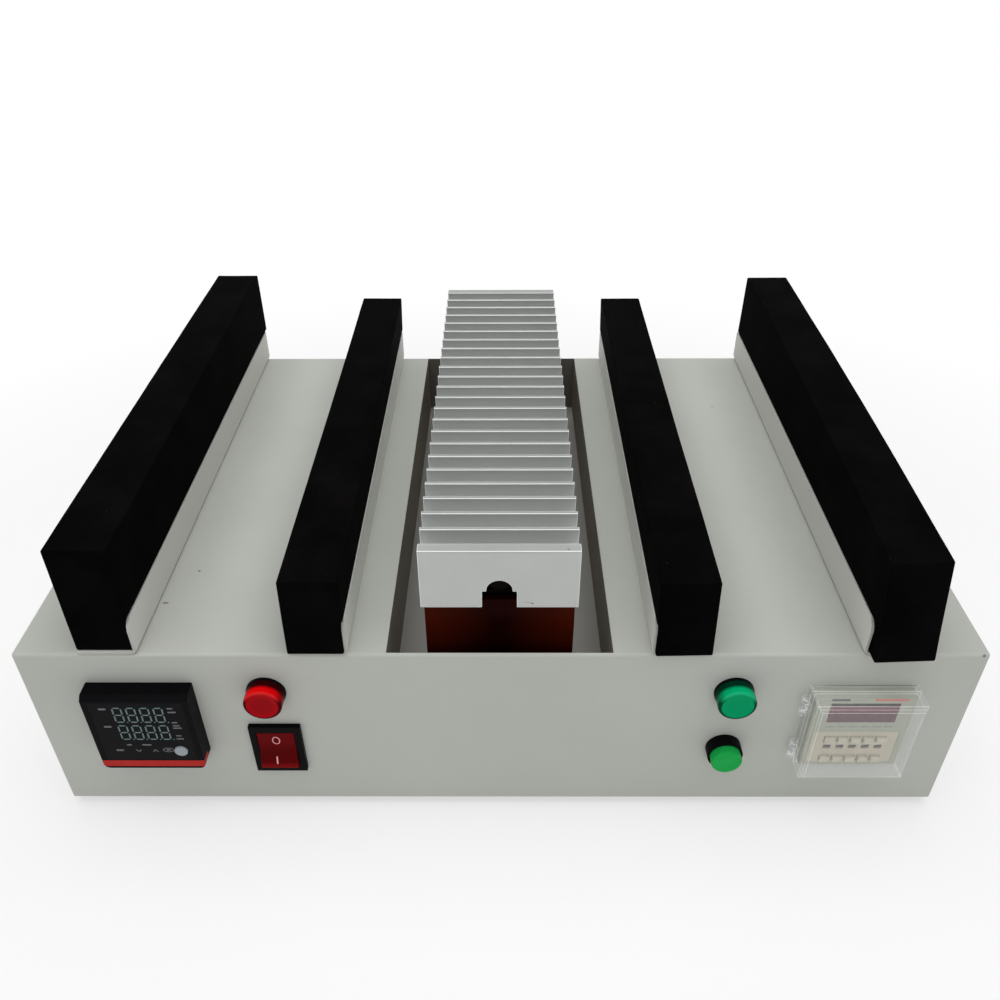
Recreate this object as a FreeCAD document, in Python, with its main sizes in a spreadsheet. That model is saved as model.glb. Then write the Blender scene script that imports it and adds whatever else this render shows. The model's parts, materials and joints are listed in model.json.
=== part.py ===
import FreeCAD, Part
import math
import os

import Sketcher

# Bench heater with foam rails: a low sheet-metal case with a trough along the middle of its top, a finned
# heater block standing in the trough, and two pairs of foam rails that carry the work over the block.
# Millimetres. X runs along the front panel, Y from the front to the rear, Z up. The origin is on the table,
# under the middle of the space that the whole object takes up.

SIZES = (
    # Case, folded from one sheet
    ("case_width", "430"),
    ("case_depth", "282"),
    ("case_height", "100"),
    ("sheet_thick", "1.2"),
    ("bend_radius", "1.5"),
    ("cutout_gap", "0.3"),
    # Trough under the opening in the top
    ("trough_width", "100"),
    ("trough_drop", "38.5"),
    ("trough_lip", "9"),
    # Base plate, its flanges and side screws
    ("base_gap", "0.2"),
    ("base_flange", "14"),
    ("side_screw_pitch", "110"),
    # Small and large screws
    ("screw_radius", "1.5"),
    ("screw_head_radius", "2.8"),
    ("screw_head_height", "1.8"),
    ("screw_gap", "0.1"),
    ("screw_tail", "3"),
    ("long_screw_radius", "2"),
    ("long_screw_head_radius", "3.5"),
    ("long_screw_head_height", "2.4"),
    # Rubber feet
    ("foot_height", "6"),
    ("foot_top_radius", "10"),
    ("foot_bottom_radius", "8.5"),
    ("foot_recess_radius", "4"),
    ("foot_recess_depth", "3"),
    ("foot_inset_x", "34"),
    ("foot_inset_y", "30"),
    # Rear vents
    ("vent_width", "3"),
    ("vent_height", "26"),
    ("vent_pitch", "8"),
    ("vent_count", "9"),
    ("vent_inset", "38"),
    ("vent_z", "60"),
    # Angle rails and foam strips
    ("rail_thick", "1.2"),
    ("rail_leg", "19"),
    ("rail_corner", "6"),
    ("rail_inner_face", "66.6"),
    ("rail_outer_inset", "56"),
    ("rail_screw_pitch", "110"),
    ("foam_width", "25"),
    ("foam_inner_height", "41.8"),
    ("foam_outer_height", "57.2"),
    ("foam_shoulder", "1.5"),
    ("foam_lead_outer_left", "-1.2"),
    ("foam_lead_inner_left", "1.3"),
    ("foam_lead_inner_right", "2.3"),
    ("foam_lead_outer_right", "5"),
    ("foam_tail_outer_left", "4"),
    ("foam_tail_inner_left", "2.7"),
    ("foam_tail_inner_right", "1.7"),
    ("foam_tail_outer_right", "-1"),
    ("foam_front_lean_outer_left", "2.4"),
    ("foam_front_lean_inner_left", "1.9"),
    ("foam_front_lean_inner_right", "2"),
    ("foam_front_lean_outer_right", "6.4"),
    ("foam_rear_lean_outer_left", "1.2"),
    ("foam_rear_lean_inner_left", "2.1"),
    ("foam_rear_lean_inner_right", "2.1"),
    ("foam_rear_lean_outer_right", "0.8"),
    ("foam_front_swell_outer_left", "2.1"),
    ("foam_front_swell_inner_left", "1"),
    ("foam_front_swell_inner_right", "0.7"),
    ("foam_front_swell_outer_right", "1.3"),
    ("foam_rear_swell_outer_left", "1.2"),
    ("foam_rear_swell_inner_left", "0.5"),
    ("foam_rear_swell_inner_right", "0.5"),
    ("foam_rear_swell_outer_right", "0.6"),
    ("foam_splay_outer_left", "0"),
    ("foam_splay_inner_left", "0"),
    ("foam_splay_inner_right", "0"),
    ("foam_splay_outer_right", "2.3"),
    ("foam_skew_outer_left", "0"),
    ("foam_skew_inner_left", "0"),
    ("foam_skew_inner_right", "1.2"),
    ("foam_skew_outer_right", "2.4"),
    ("foam_nod_outer_left", "1.2"),
    ("foam_nod_inner_left", "0.3"),
    ("foam_nod_inner_right", "0.3"),
    ("foam_nod_outer_right", "3"),
    # Heater block
    ("sink_width", "68"),
    ("sink_inset", "7"),
    ("sink_height", "31"),
    ("sink_base", "18"),
    ("end_plate_thick", "5.3"),
    ("fin_thick", "2"),
    ("fin_count", "22"),
    ("slot_width", "15"),
    ("slot_height", "8.6"),
    ("groove_radius", "5.6"),
    ("thread_depth", "10"),
    ("long_screw_spread", "46"),
    # Heater rod, bar under it, and probe
    ("heater_gap", "0.2"),
    ("heater_recess", "8"),
    ("probe_radius", "2"),
    ("probe_depth", "12"),
    ("probe_x", "20"),
    ("probe_hex_radius", "5"),
    ("probe_hex_height", "4"),
    ("probe_tail", "12"),
    # Insulating blocks
    ("insulator_width", "66"),
    ("insulator_thick", "25"),
    ("insulator_height", "60"),
    ("insulator_setback", "5"),
    # Temperature controller
    ("controller_inset", "52.5"),
    ("controller_z", "58.5"),
    ("controller_bezel", "48"),
    ("controller_body", "44.6"),
    ("controller_depth", "62"),
    ("controller_reach", "9.5"),
    ("controller_chamfer", "2.2"),
    ("controller_round", "3"),
    ("face_width", "42"),
    ("face_thick", "1"),
    ("face_top", "20.5"),
    ("face_bottom", "17.8"),
    ("trim_rise", "1.2"),
    ("trim_height", "4.3"),
    ("trim_depth", "6"),
    ("round_key_radius", "3.05"),
    ("round_key_x", "14.7"),
    ("round_key_drop", "11.5"),
    ("round_key_proud", "0.6"),
    ("round_key_length", "2.6"),
    ("round_key_travel", "0.5"),
    # Clips behind the two instruments
    ("clip_wall", "3.5"),
    ("clip_thick", "6"),
    ("clip_gap", "0.15"),
    # Pilot lamps
    ("lamp_inset", "109.2"),
    ("lamp_z", "76.7"),
    ("lamp_radius", "9"),
    ("lamp_flange", "1.5"),
    ("lamp_reach", "9.2"),
    ("lens_radius", "8.8"),
    ("lens_wall", "1.4"),
    ("lens_round", "1"),
    ("lamp_barrel_radius", "8"),
    ("lamp_depth", "28"),
    ("lamp_bulb_radius", "2.5"),
    ("lamp_bulb_length", "4"),
    ("nut_thick", "4"),
    ("nut_wall", "3"),
    ("nut_gap", "0.1"),
    # Rocker switch
    ("switch_inset", "109.6"),
    ("switch_z", "39.1"),
    ("switch_bezel_width", "24.2"),
    ("switch_bezel_height", "31.4"),
    ("switch_bezel_reach", "2.5"),
    ("switch_body_width", "22"),
    ("switch_body_height", "28.6"),
    ("switch_depth", "26"),
    ("rocker_width", "17.5"),
    ("rocker_radius", "12"),
    ("rocker_pivot_depth", "1"),
    ("rocker_back", "3"),
    ("rocker_tilt", "14"),
    ("rocker_gap", "0.3"),
    ("rocker_pin_radius", "1.2"),
    ("rocker_pin_length", "1.5"),
    ("running_gap", "0.06"),
    # Push button
    ("button_inset", "109"),
    ("button_z", "39"),
    ("ring_radius", "8.3"),
    ("ring_reach", "6"),
    ("button_barrel_radius", "7.9"),
    ("button_depth", "24"),
    ("bore_depth", "6"),
    ("cap_radius", "7.2"),
    ("cap_reach", "10"),
    ("cap_length", "7"),
    ("cap_round", "0.8"),
    ("cap_gap", "0.3"),
    ("stem_radius", "2.5"),
    ("stem_tail", "2"),
    ("spring_radius", "4.6"),
    ("spring_wire_radius", "0.4"),
    ("spring_turns", "5"),
    ("spring_turn_points", "16"),
    ("spring_seat", "0.1"),
    # Timer
    ("timer_inset", "51.4"),
    ("timer_z", "57"),
    ("timer_bezel", "45"),
    ("timer_body", "44"),
    ("timer_depth", "66"),
    ("timer_reach", "7"),
    ("timer_face_size", "43"),
    ("timer_face_thick", "1.2"),
    ("window_width", "31"),
    ("window_height", "12.6"),
    ("window_rise", "13.2"),
    ("key_panel_width", "39"),
    ("key_panel_height", "21.4"),
    ("key_panel_drop", "10.1"),
    ("inlay_gap", "0.1"),
    ("digit_pitch", "5.9"),
    ("digit_drop", "9.9"),
    ("digit_window_width", "3.6"),
    ("digit_window_height", "2.6"),
    ("wheel_radius", "3.2"),
    ("wheel_width", "4.6"),
    ("wheel_shaft_radius", "1"),
    ("wheel_gap", "0.4"),
    ("key_width", "4.2"),
    ("key_height", "3.4"),
    ("upper_key_drop", "4.7"),
    ("lower_key_drop", "17.8"),
    ("key_proud", "1.5"),
    ("key_tail", "3"),
    ("key_gap", "0.3"),
    ("well_depth", "12"),
    # Clear cover over the timer
    ("cover_size", "48.5"),
    ("cover_reach", "15"),
    ("cover_wall", "1.4"),
    ("cover_chamfer", "2"),
    ("cover_fit", "0.3"),
    ("frame_depth", "4"),
    ("lid_gap", "0.3"),
    ("knuckle_radius", "1.6"),
    ("knuckle_length", "5"),
    ("knuckle_spread", "15"),
    ("knuckle_gap", "0.3"),
    ("lug_length", "2.5"),
    ("hinge_pin_radius", "0.8"),
    ("hinge_offset", "2"),
    # Mains inlet on the rear panel
    ("inlet_inset", "65"),
    ("inlet_z", "35"),
    ("inlet_flange_width", "31"),
    ("inlet_flange_height", "24"),
    ("inlet_reach", "4"),
    ("inlet_body_width", "27"),
    ("inlet_body_height", "19.6"),
    ("inlet_depth", "24"),
    ("socket_width", "23"),
    ("socket_height", "15.6"),
    ("socket_depth", "17"),
    ("blade_width", "2"),
    ("blade_height", "4"),
    ("blade_length", "11"),
    ("blade_pitch", "7"),
    ("blade_rise", "2"),
    # Relay and terminal block on the base plate
    ("relay_inset", "65"),
    ("relay_rear", "70"),
    ("relay_width", "45"),
    ("relay_length", "58"),
    ("relay_height", "23"),
    ("relay_terminal_radius", "4"),
    ("relay_terminal_depth", "5"),
    ("relay_terminal_inset", "9"),
    ("terminal_inset", "75"),
    ("terminal_rear", "60"),
    ("terminal_length", "80"),
    ("terminal_width", "22"),
    ("terminal_height", "16"),
    ("terminal_pitch", "12"),
    ("terminal_hole_radius", "3.2"),
    ("terminal_hole_depth", "6"),
)

doc = FreeCAD.newDocument("bench_heater")
dims = doc.addObject("Spreadsheet::Sheet", "Dims")
for row, (alias, value) in enumerate(SIZES, start=1):
    dims.set(f"A{row}", alias)
    dims.set(f"B{row}", value)
    dims.setAlias(f"B{row}", alias)
doc.recompute()

# Places that several pieces share
FRONT = "((Dims.cover_reach - Dims.inlet_reach - Dims.case_depth) / 2)"
REAR = f"({FRONT} + Dims.case_depth)"
MIDDLE = f"({FRONT} + Dims.case_depth / 2)"
BEHIND_FRONT = f"({FRONT} + Dims.sheet_thick)"
BEFORE_REAR = f"({REAR} - Dims.sheet_thick)"
BASE = "Dims.foot_height"
FLOOR = f"({BASE} + Dims.sheet_thick)"
TOP = f"({BASE} + Dims.case_height)"
UNDER_TOP = f"({TOP} - Dims.sheet_thick)"
TROUGH_FLOOR = f"({TOP} - Dims.trough_drop)"
SINK_FRONT = f"({FRONT} + Dims.sink_inset)"
SINK_LENGTH = "(Dims.case_depth - 2 * Dims.sink_inset)"
SINK_BOTTOM = f"({TROUGH_FLOOR} + Dims.insulator_height)"
SINK_TOP = f"({SINK_BOTTOM} + Dims.sink_height)"
LEFT = "(-Dims.case_width / 2)"
RIGHT = "(Dims.case_width / 2)"
CONTROLLER = (f"({LEFT} + Dims.controller_inset)", f"({BASE} + Dims.controller_z)")
TIMER = (f"({RIGHT} - Dims.timer_inset)", f"({BASE} + Dims.timer_z)")
RED_LAMP = (f"({LEFT} + Dims.lamp_inset)", f"({BASE} + Dims.lamp_z)")
GREEN_LAMP = (f"({RIGHT} - Dims.lamp_inset)", f"({BASE} + Dims.lamp_z)")
SWITCH = (f"({LEFT} + Dims.switch_inset)", f"({BASE} + Dims.switch_z)")
BUTTON = (f"({RIGHT} - Dims.button_inset)", f"({BASE} + Dims.button_z)")
INLET = (f"({LEFT} + Dims.inlet_inset)", f"({BASE} + Dims.inlet_z)")
INSULATOR_FRONTS = {
    "insulator_front": f"({SINK_FRONT} + Dims.insulator_setback)",
    "insulator_rear": f"({SINK_FRONT} + {SINK_LENGTH} - Dims.insulator_setback - Dims.insulator_thick)",
}
OUTER_FACE = "(Dims.case_width / 2 - Dims.rail_outer_inset)"
RAILS = (
    ("outer_left", "-1", OUTER_FACE, "Dims.foam_outer_height"),
    ("inner_left", "-1", "Dims.rail_inner_face", "Dims.foam_inner_height"),
    ("inner_right", "1", "Dims.rail_inner_face", "Dims.foam_inner_height"),
    ("outer_right", "1", OUTER_FACE, "Dims.foam_outer_height"),
)
# Where the long edges of a foam strip are set out, as shares of its length
FOAM_SHARES = ("0", "0.3", "0.6", "1")
# Three screws in a row, and five digits in a row, counted from the middle one
THREE = (-1, 0, 1)
FIVE = (-2, -1, 0, 1, 2)
BOTH = (-1, 1)
# How far a cutting tool starts outside the face that it cuts
PAST = "1"

TURNS = {
    "+X": FreeCAD.Rotation(FreeCAD.Vector(0, 1, 0), 90),
    "-X": FreeCAD.Rotation(FreeCAD.Vector(0, 1, 0), -90),
    "+Y": FreeCAD.Rotation(FreeCAD.Vector(1, 0, 0), -90),
    "-Y": FreeCAD.Rotation(FreeCAD.Vector(1, 0, 0), 90),
    "+Z": FreeCAD.Rotation(),
    "-Z": FreeCAD.Rotation(FreeCAD.Vector(1, 0, 0), 180),
}
OPPOSITE = {"+X": "-X", "-X": "+X", "+Y": "-Y", "-Y": "+Y", "+Z": "-Z", "-Z": "+Z"}

NODES = []


# Small tools for objects whose sizes are bound to the sheet

def number(text):
    """The value that an expression has now."""
    value = dims.evalExpression(text)
    return float(getattr(value, "Value", value))


def node(label, piece):
    """Name a finished piece."""
    piece.Label = label
    NODES.append(piece)
    return piece


def around(middle, size):
    """The span of a given size about a middle."""
    return f"({middle}) - ({size}) / 2", f"({middle}) + ({size}) / 2"


def after(start, size):
    """The span of a given size from a start."""
    return f"({start})", f"({start}) + ({size})"


def place(piece, point):
    """Bind a piece's place."""
    for letter, text in zip("xyz", point):
        piece.setExpression(f"Placement.Base.{letter}", text)


def box(name, xs, ys, zs):
    """A block that fills three spans."""
    piece = doc.addObject("Part::Box", name)
    for side, (low, high) in zip(("Length", "Width", "Height"), (xs, ys, zs)):
        piece.setExpression(side, f"({high}) - ({low})")
    place(piece, (xs[0], ys[0], zs[0]))
    return piece


def rod(name, radius, length, start, axis):
    """A round rod from a start point along an axis."""
    piece = doc.addObject("Part::Cylinder", name)
    piece.setExpression("Radius", radius)
    piece.setExpression("Height", length)
    piece.Placement = FreeCAD.Placement(FreeCAD.Vector(), TURNS[axis])
    place(piece, start)
    return piece


def hexagon(name, radius, length, start, axis):
    """A six-sided prism from a start point along an axis."""
    piece = doc.addObject("Part::Prism", name)
    piece.Polygon = 6
    piece.setExpression("Circumradius", radius)
    piece.setExpression("Height", length)
    piece.Placement = FreeCAD.Placement(FreeCAD.Vector(), TURNS[axis])
    place(piece, start)
    return piece


def fuse(name, *pieces):
    """Pieces made one."""
    joined = doc.addObject("Part::MultiFuse", name)
    joined.Shapes = list(pieces)
    return joined


def cut(name, base, *tools):
    """A piece with others taken out of it."""
    result = doc.addObject("Part::Cut", name)
    result.Base = base
    result.Tool = tools[0] if len(tools) == 1 else fuse(f"{name}_tools", *tools)
    return result


def common(name, base, tool):
    """What two pieces share."""
    result = doc.addObject("Part::Common", name)
    result.Base = base
    result.Tool = tool
    return result


def group(name, pieces):
    """Separate like solids under one name."""
    result = doc.addObject("Part::Compound", name)
    result.Links = pieces
    return result


def screw(name, seat, axis, length, radius="Dims.screw_radius", head_radius="Dims.screw_head_radius",
          head_height="Dims.screw_head_height"):
    """A screw whose head sits on a seat and whose shank runs along an axis."""
    shank = rod(f"{name}_shank", radius, length, seat, axis)
    head = rod(f"{name}_head", head_radius, head_height, seat, OPPOSITE[axis])
    return fuse(name, head, shank)


def new_body(name):
    """An empty body."""
    return doc.addObject("PartDesign::Body", name)


def origin_feature(body, role):
    """A plane or axis of a body's own origin."""
    return next(feature for feature in body.Origin.OriginFeatures if feature.Role == role)


def sketch(body, name, role, level):
    """A sketch on one of a body's origin planes, moved to a level along the plane's axis."""
    drawing = body.newObject("Sketcher::SketchObject", name)
    drawing.AttachmentSupport = [(origin_feature(body, role), "")]
    drawing.MapMode = "FlatFace"
    sign = "-" if role == "XZ_Plane" else ""
    drawing.setExpression("AttachmentOffset.Base.z", f"{sign}({level})")
    return drawing


def bind(drawing, constraint, text):
    """Add a constraint and bind it."""
    index = drawing.addConstraint(constraint)
    drawing.setExpression(f"Constraints[{index}]", text)


def polygon(drawing, points):
    """A closed outline through points."""
    first = drawing.GeometryCount
    count = len(points)
    corners = [FreeCAD.Vector(number(x), number(y), 0) for x, y in points]
    for index in range(count):
        drawing.addGeometry(Part.LineSegment(corners[index], corners[(index + 1) % count]), False)
    for index in range(count):
        after_it = first + (index + 1) % count
        drawing.addConstraint(Sketcher.Constraint("Coincident", first + index, 2, after_it, 1))
    for index, (x, y) in enumerate(points):
        bind(drawing, Sketcher.Constraint("DistanceX", first + index, 1, corners[index].x), x)
        bind(drawing, Sketcher.Constraint("DistanceY", first + index, 1, corners[index].y), y)


def rectangle(drawing, xs, ys):
    """A rectangle that fills two spans."""
    polygon(drawing, ((xs[0], ys[0]), (xs[1], ys[0]), (xs[1], ys[1]), (xs[0], ys[1])))


def circle(drawing, centre, radius):
    """A circle about a centre."""
    middle = FreeCAD.Vector(number(centre[0]), number(centre[1]), 0)
    index = drawing.addGeometry(Part.Circle(middle, FreeCAD.Vector(0, 0, 1), number(radius)), False)
    bind(drawing, Sketcher.Constraint("Radius", index, number(radius)), radius)
    bind(drawing, Sketcher.Constraint("DistanceX", index, 3, middle.x), centre[0])
    bind(drawing, Sketcher.Constraint("DistanceY", index, 3, middle.y), centre[1])


def pad(body, drawing, length, flip=False):
    """Add material from a sketch, along its normal or against it."""
    feature = body.newObject("PartDesign::Pad", f"{drawing.Name}_pad")
    feature.Profile = drawing
    feature.setExpression("Length", length)
    feature.Reversed = flip
    doc.recompute()
    return feature


def pocket(body, drawing, length, flip=False):
    """Take material out from a sketch, against its normal or along it."""
    before = body.Shape.Volume
    feature = body.newObject("PartDesign::Pocket", f"{drawing.Name}_pocket")
    feature.Profile = drawing
    feature.setExpression("Length", length)
    feature.Reversed = flip
    doc.recompute()
    if feature.Shape.Volume >= before:
        raise RuntimeError(f"{drawing.Name} takes nothing out")
    return feature


def loft(body, outlines):
    """Add material with straight sides through a row of sketches."""
    feature = body.newObject("PartDesign::AdditiveLoft", f"{outlines[0].Name}_loft")
    feature.Profile = outlines[0]
    feature.Sections = outlines[1:]
    feature.Ruled = True
    doc.recompute()
    return feature


def edge_feature(body, kind, size, amount, picks):
    """Round or bevel the edges of a body's last feature that a test picks."""
    base = body.Tip
    names = [f"Edge{index}" for index, edge in enumerate(base.Shape.Edges, start=1) if picks(edge)]
    feature = body.newObject(f"PartDesign::{kind}", f"{base.Name}_{kind.lower()}")
    feature.Base = (base, names)
    feature.setExpression(size, amount)
    doc.recompute()
    return feature


def fillet(body, radius, picks):
    """Round the edges that a test picks."""
    return edge_feature(body, "Fillet", "Radius", radius, picks)


def chamfer(body, size, picks):
    """Bevel the edges that a test picks."""
    return edge_feature(body, "Chamfer", "Size", size, picks)


def at_level(letter, text):
    """A test for edges that lie wholly at one level along an axis."""
    level = number(text)

    def test(edge):
        return all(abs(getattr(vertex.Point, letter) - level) < 1e-6 for vertex in edge.Vertexes)

    return test


def pattern(body, feature, role, length, count):
    """Repeat a feature along an axis."""
    repeat = body.newObject("PartDesign::LinearPattern", f"{feature.Name}_row")
    repeat.Originals = [feature]
    repeat.Direction = (origin_feature(body, role), [""])
    repeat.setExpression("Length", length)
    repeat.setExpression("Occurrences", count)
    body.Tip = repeat
    doc.recompute()
    return repeat


# Case

def rail_screw_points():
    """Where the rail screws stand, rail by rail."""
    points = {}
    for label, side, face, _ in RAILS:
        x = f"{side} * ({face} + Dims.rail_thick + Dims.foam_width / 2)"
        points[label] = [(x, f"{MIDDLE} + {step} * Dims.rail_screw_pitch") for step in THREE]
    return points


def side_screw_points():
    """Where the side screws pass, as places along the side and heights."""
    height = f"{BASE} + Dims.base_flange / 2"
    return [(f"{MIDDLE} + {step} * Dims.side_screw_pitch", height) for step in THREE]


def foot_points():
    """Where the feet stand."""
    x = "(Dims.case_width / 2 - Dims.foot_inset_x)"
    y = "(Dims.case_depth / 2 - Dims.foot_inset_y)"
    return [(f"{left} * {x}", f"{MIDDLE} + {rear} * {y}") for left in BOTH for rear in BOTH]


def long_screw_points():
    """Where the long screws pass through each insulating block."""
    return {
        label: [(f"{side} * Dims.long_screw_spread / 2", f"{start} + Dims.insulator_thick / 2") for side in BOTH]
        for label, start in INSULATOR_FRONTS.items()
    }


def make_case_cover():
    """The folded cover: a shell open below, with the trough opening and all cut-outs."""
    body = new_body("case_cover")
    outline = sketch(body, "cover_outline", "XY_Plane", BASE)
    rectangle(outline, around("0", "Dims.case_width"), (FRONT, REAR))
    pad(body, outline, "Dims.case_height")
    below = at_level("z", BASE)
    fillet(body, "Dims.bend_radius", lambda edge: not below(edge))

    inside = sketch(body, "cover_inside", "XY_Plane", BASE)
    rectangle(inside, around("0", "Dims.case_width - 2 * Dims.sheet_thick"), (BEHIND_FRONT, BEFORE_REAR))
    pocket(body, inside, "Dims.case_height - Dims.sheet_thick", flip=True)

    opening = sketch(body, "cover_opening", "XY_Plane", TOP)
    rectangle(opening, around("0", "Dims.trough_width"), (BEHIND_FRONT, BEFORE_REAR))
    pocket(body, opening, "2 * Dims.sheet_thick")

    gap = "2 * Dims.cutout_gap"
    panel = sketch(body, "cover_panel_holes", "XZ_Plane", FRONT)
    for centre, width, height in (
        (CONTROLLER, "Dims.controller_body", "Dims.controller_body"),
        (TIMER, "Dims.timer_body", "Dims.timer_body"),
        (SWITCH, "Dims.switch_body_width", "Dims.switch_body_height"),
    ):
        rectangle(panel, around(centre[0], f"{width} + {gap}"), around(centre[1], f"{height} + {gap}"))
    for centre, radius in (
        (RED_LAMP, "Dims.lamp_barrel_radius"),
        (GREEN_LAMP, "Dims.lamp_barrel_radius"),
        (BUTTON, "Dims.button_barrel_radius"),
    ):
        circle(panel, centre, f"{radius} + Dims.cutout_gap")
    pocket(body, panel, "2 * Dims.sheet_thick")

    inlet = sketch(body, "cover_inlet_hole", "XZ_Plane", BEFORE_REAR)
    rectangle(
        inlet,
        around(INLET[0], f"Dims.inlet_body_width + {gap}"),
        around(INLET[1], f"Dims.inlet_body_height + {gap}"),
    )
    pocket(body, inlet, "2 * Dims.sheet_thick")

    screws = sketch(body, "cover_rail_holes", "XY_Plane", TOP)
    for points in rail_screw_points().values():
        for point in points:
            circle(screws, point, "Dims.screw_radius + Dims.screw_gap")
    pocket(body, screws, "2 * Dims.sheet_thick")

    sides = sketch(body, "cover_side_holes", "YZ_Plane", "Dims.case_width / 2")
    for point in side_screw_points():
        circle(sides, point, "Dims.screw_radius + Dims.screw_gap")
    pocket(body, sides, "Dims.case_width")

    slot = sketch(body, "cover_vent", "XZ_Plane", BEFORE_REAR)
    row = "(Dims.vent_pitch * (Dims.vent_count - 1))"
    start = f"{RIGHT} - Dims.vent_inset - Dims.vent_width - {row}"
    rectangle(slot, after(start, "Dims.vent_width"), around(f"{BASE} + Dims.vent_z", "Dims.vent_height"))
    first = pocket(body, slot, "2 * Dims.sheet_thick")
    pattern(body, first, "X_Axis", row, "Dims.vent_count")
    node("case_cover", body)


def make_trough():
    """The channel under the opening, with lips that lie against the underside of the top."""
    body = new_body("trough")
    outline = sketch(body, "trough_outline", "XZ_Plane", BEHIND_FRONT)
    inner = "Dims.trough_width / 2"
    outer = f"({inner} + Dims.sheet_thick)"
    lip = f"({outer} + Dims.trough_lip)"
    lip_under = f"({UNDER_TOP} - Dims.sheet_thick)"
    floor_under = f"({TROUGH_FLOOR} - Dims.sheet_thick)"
    right = (
        (inner, TROUGH_FLOOR), (inner, UNDER_TOP), (lip, UNDER_TOP),
        (lip, lip_under), (outer, lip_under), (outer, floor_under),
    )
    left = tuple((f"-{x}", z) for x, z in reversed(right))
    polygon(outline, right + left)
    pad(body, outline, "Dims.case_depth - 2 * Dims.sheet_thick", flip=True)
    holes = sketch(body, "trough_holes", "XY_Plane", TROUGH_FLOOR)
    for points in long_screw_points().values():
        for point in points:
            circle(holes, point, "Dims.long_screw_radius + Dims.screw_gap")
    pocket(body, holes, "2 * Dims.sheet_thick")
    node("trough", body)


def make_base():
    """The base plate with its upturned side flanges, and the screws through the case sides."""
    body = new_body("base_plate")
    gap = "Dims.base_gap"
    outer = f"(Dims.case_width / 2 - Dims.sheet_thick - {gap})"
    inner = f"({outer} - Dims.sheet_thick)"
    flange_top = f"({BASE} + Dims.base_flange)"
    right = ((inner, FLOOR), (inner, flange_top), (outer, flange_top), (outer, BASE))
    left = tuple((f"-{x}", z) for x, z in reversed(right))
    outline = sketch(body, "base_outline", "XZ_Plane", f"{BEHIND_FRONT} + {gap}")
    polygon(outline, right + left)
    pad(body, outline, f"Dims.case_depth - 2 * Dims.sheet_thick - 2 * {gap}", flip=True)
    feet = sketch(body, "base_foot_holes", "XY_Plane", FLOOR)
    for point in foot_points():
        circle(feet, point, "Dims.screw_radius + Dims.screw_gap")
    pocket(body, feet, "2 * Dims.sheet_thick")
    sides = sketch(body, "base_side_holes", "YZ_Plane", "Dims.case_width / 2")
    for point in side_screw_points():
        circle(sides, point, "Dims.screw_radius + Dims.screw_gap")
    pocket(body, sides, "Dims.case_width")
    node("base_plate", body)

    screws = []
    reach = f"2 * Dims.sheet_thick + {gap} + Dims.screw_tail"
    for side, axis in ((-1, "+X"), (1, "-X")):
        for y, z in side_screw_points():
            screws.append(screw("base_screw", (f"{side} * Dims.case_width / 2", y, z), axis, reach))
    node("base_screws", group("base_screws", screws))


def make_feet():
    """Rubber feet, each with a recess below for the head of its screw."""
    feet = []
    screws = []
    reach = "Dims.foot_height - Dims.foot_recess_depth + Dims.sheet_thick + Dims.screw_tail"
    for x, y in foot_points():
        foot = doc.addObject("Part::Cone", "foot_body")
        foot.setExpression("Radius1", "Dims.foot_bottom_radius")
        foot.setExpression("Radius2", "Dims.foot_top_radius")
        foot.setExpression("Height", "Dims.foot_height")
        place(foot, (x, y, "0"))
        hole = rod("foot_hole", "Dims.screw_radius + Dims.screw_gap", "Dims.foot_height", (x, y, "0"), "+Z")
        recess = rod("foot_recess", "Dims.foot_recess_radius", "Dims.foot_recess_depth", (x, y, "0"), "+Z")
        feet.append(cut("rubber_foot", foot, hole, recess))
        screws.append(screw("foot_screw", (x, y, "Dims.foot_recess_depth"), "+Z", reach))
    node("rubber_feet", group("rubber_feet", feet))
    node("foot_screws", group("foot_screws", screws))


# Rails

def make_rail(label, side, face, points):
    """An angle whose upright leg faces the middle, with a rounded front corner."""
    body = new_body(f"rail_{label}")
    outline = sketch(body, f"rail_{label}_outline", "XZ_Plane", FRONT)
    near = f"{side} * {face}"
    leg = f"{side} * ({face} + Dims.rail_thick)"
    far = f"{side} * ({face} + Dims.rail_thick + Dims.foam_width)"
    ledge = f"({TOP} + Dims.rail_thick)"
    crest = f"({TOP} + Dims.rail_leg)"
    polygon(outline, ((near, TOP), (far, TOP), (far, ledge), (leg, ledge), (leg, crest), (near, crest)))
    pad(body, outline, "Dims.case_depth", flip=True)
    in_front = at_level("y", FRONT)
    on_crest = at_level("z", crest)
    fillet(body, "Dims.rail_corner", lambda edge: in_front(edge) and on_crest(edge))
    holes = sketch(body, f"rail_{label}_holes", "XY_Plane", TOP)
    for point in points:
        circle(holes, point, "Dims.screw_radius + Dims.screw_gap")
    pocket(body, holes, "Dims.rail_thick", flip=True)
    node(f"rail_{label}", body)


def foam_edge(side, edge, leans, start, end):
    """Points along a long edge of a foam outline, from front to rear. Most of the lean is near the front."""
    front, rear = leans
    points = []
    for share in FOAM_SHARES:
        lean = f"({rear} + ({front} - {rear}) * (1 - {share}) * (1 - {share}))"
        points.append((f"{side} * ({edge} - {lean})", f"{start} + {share} * ({end} - {start})"))
    return points


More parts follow.
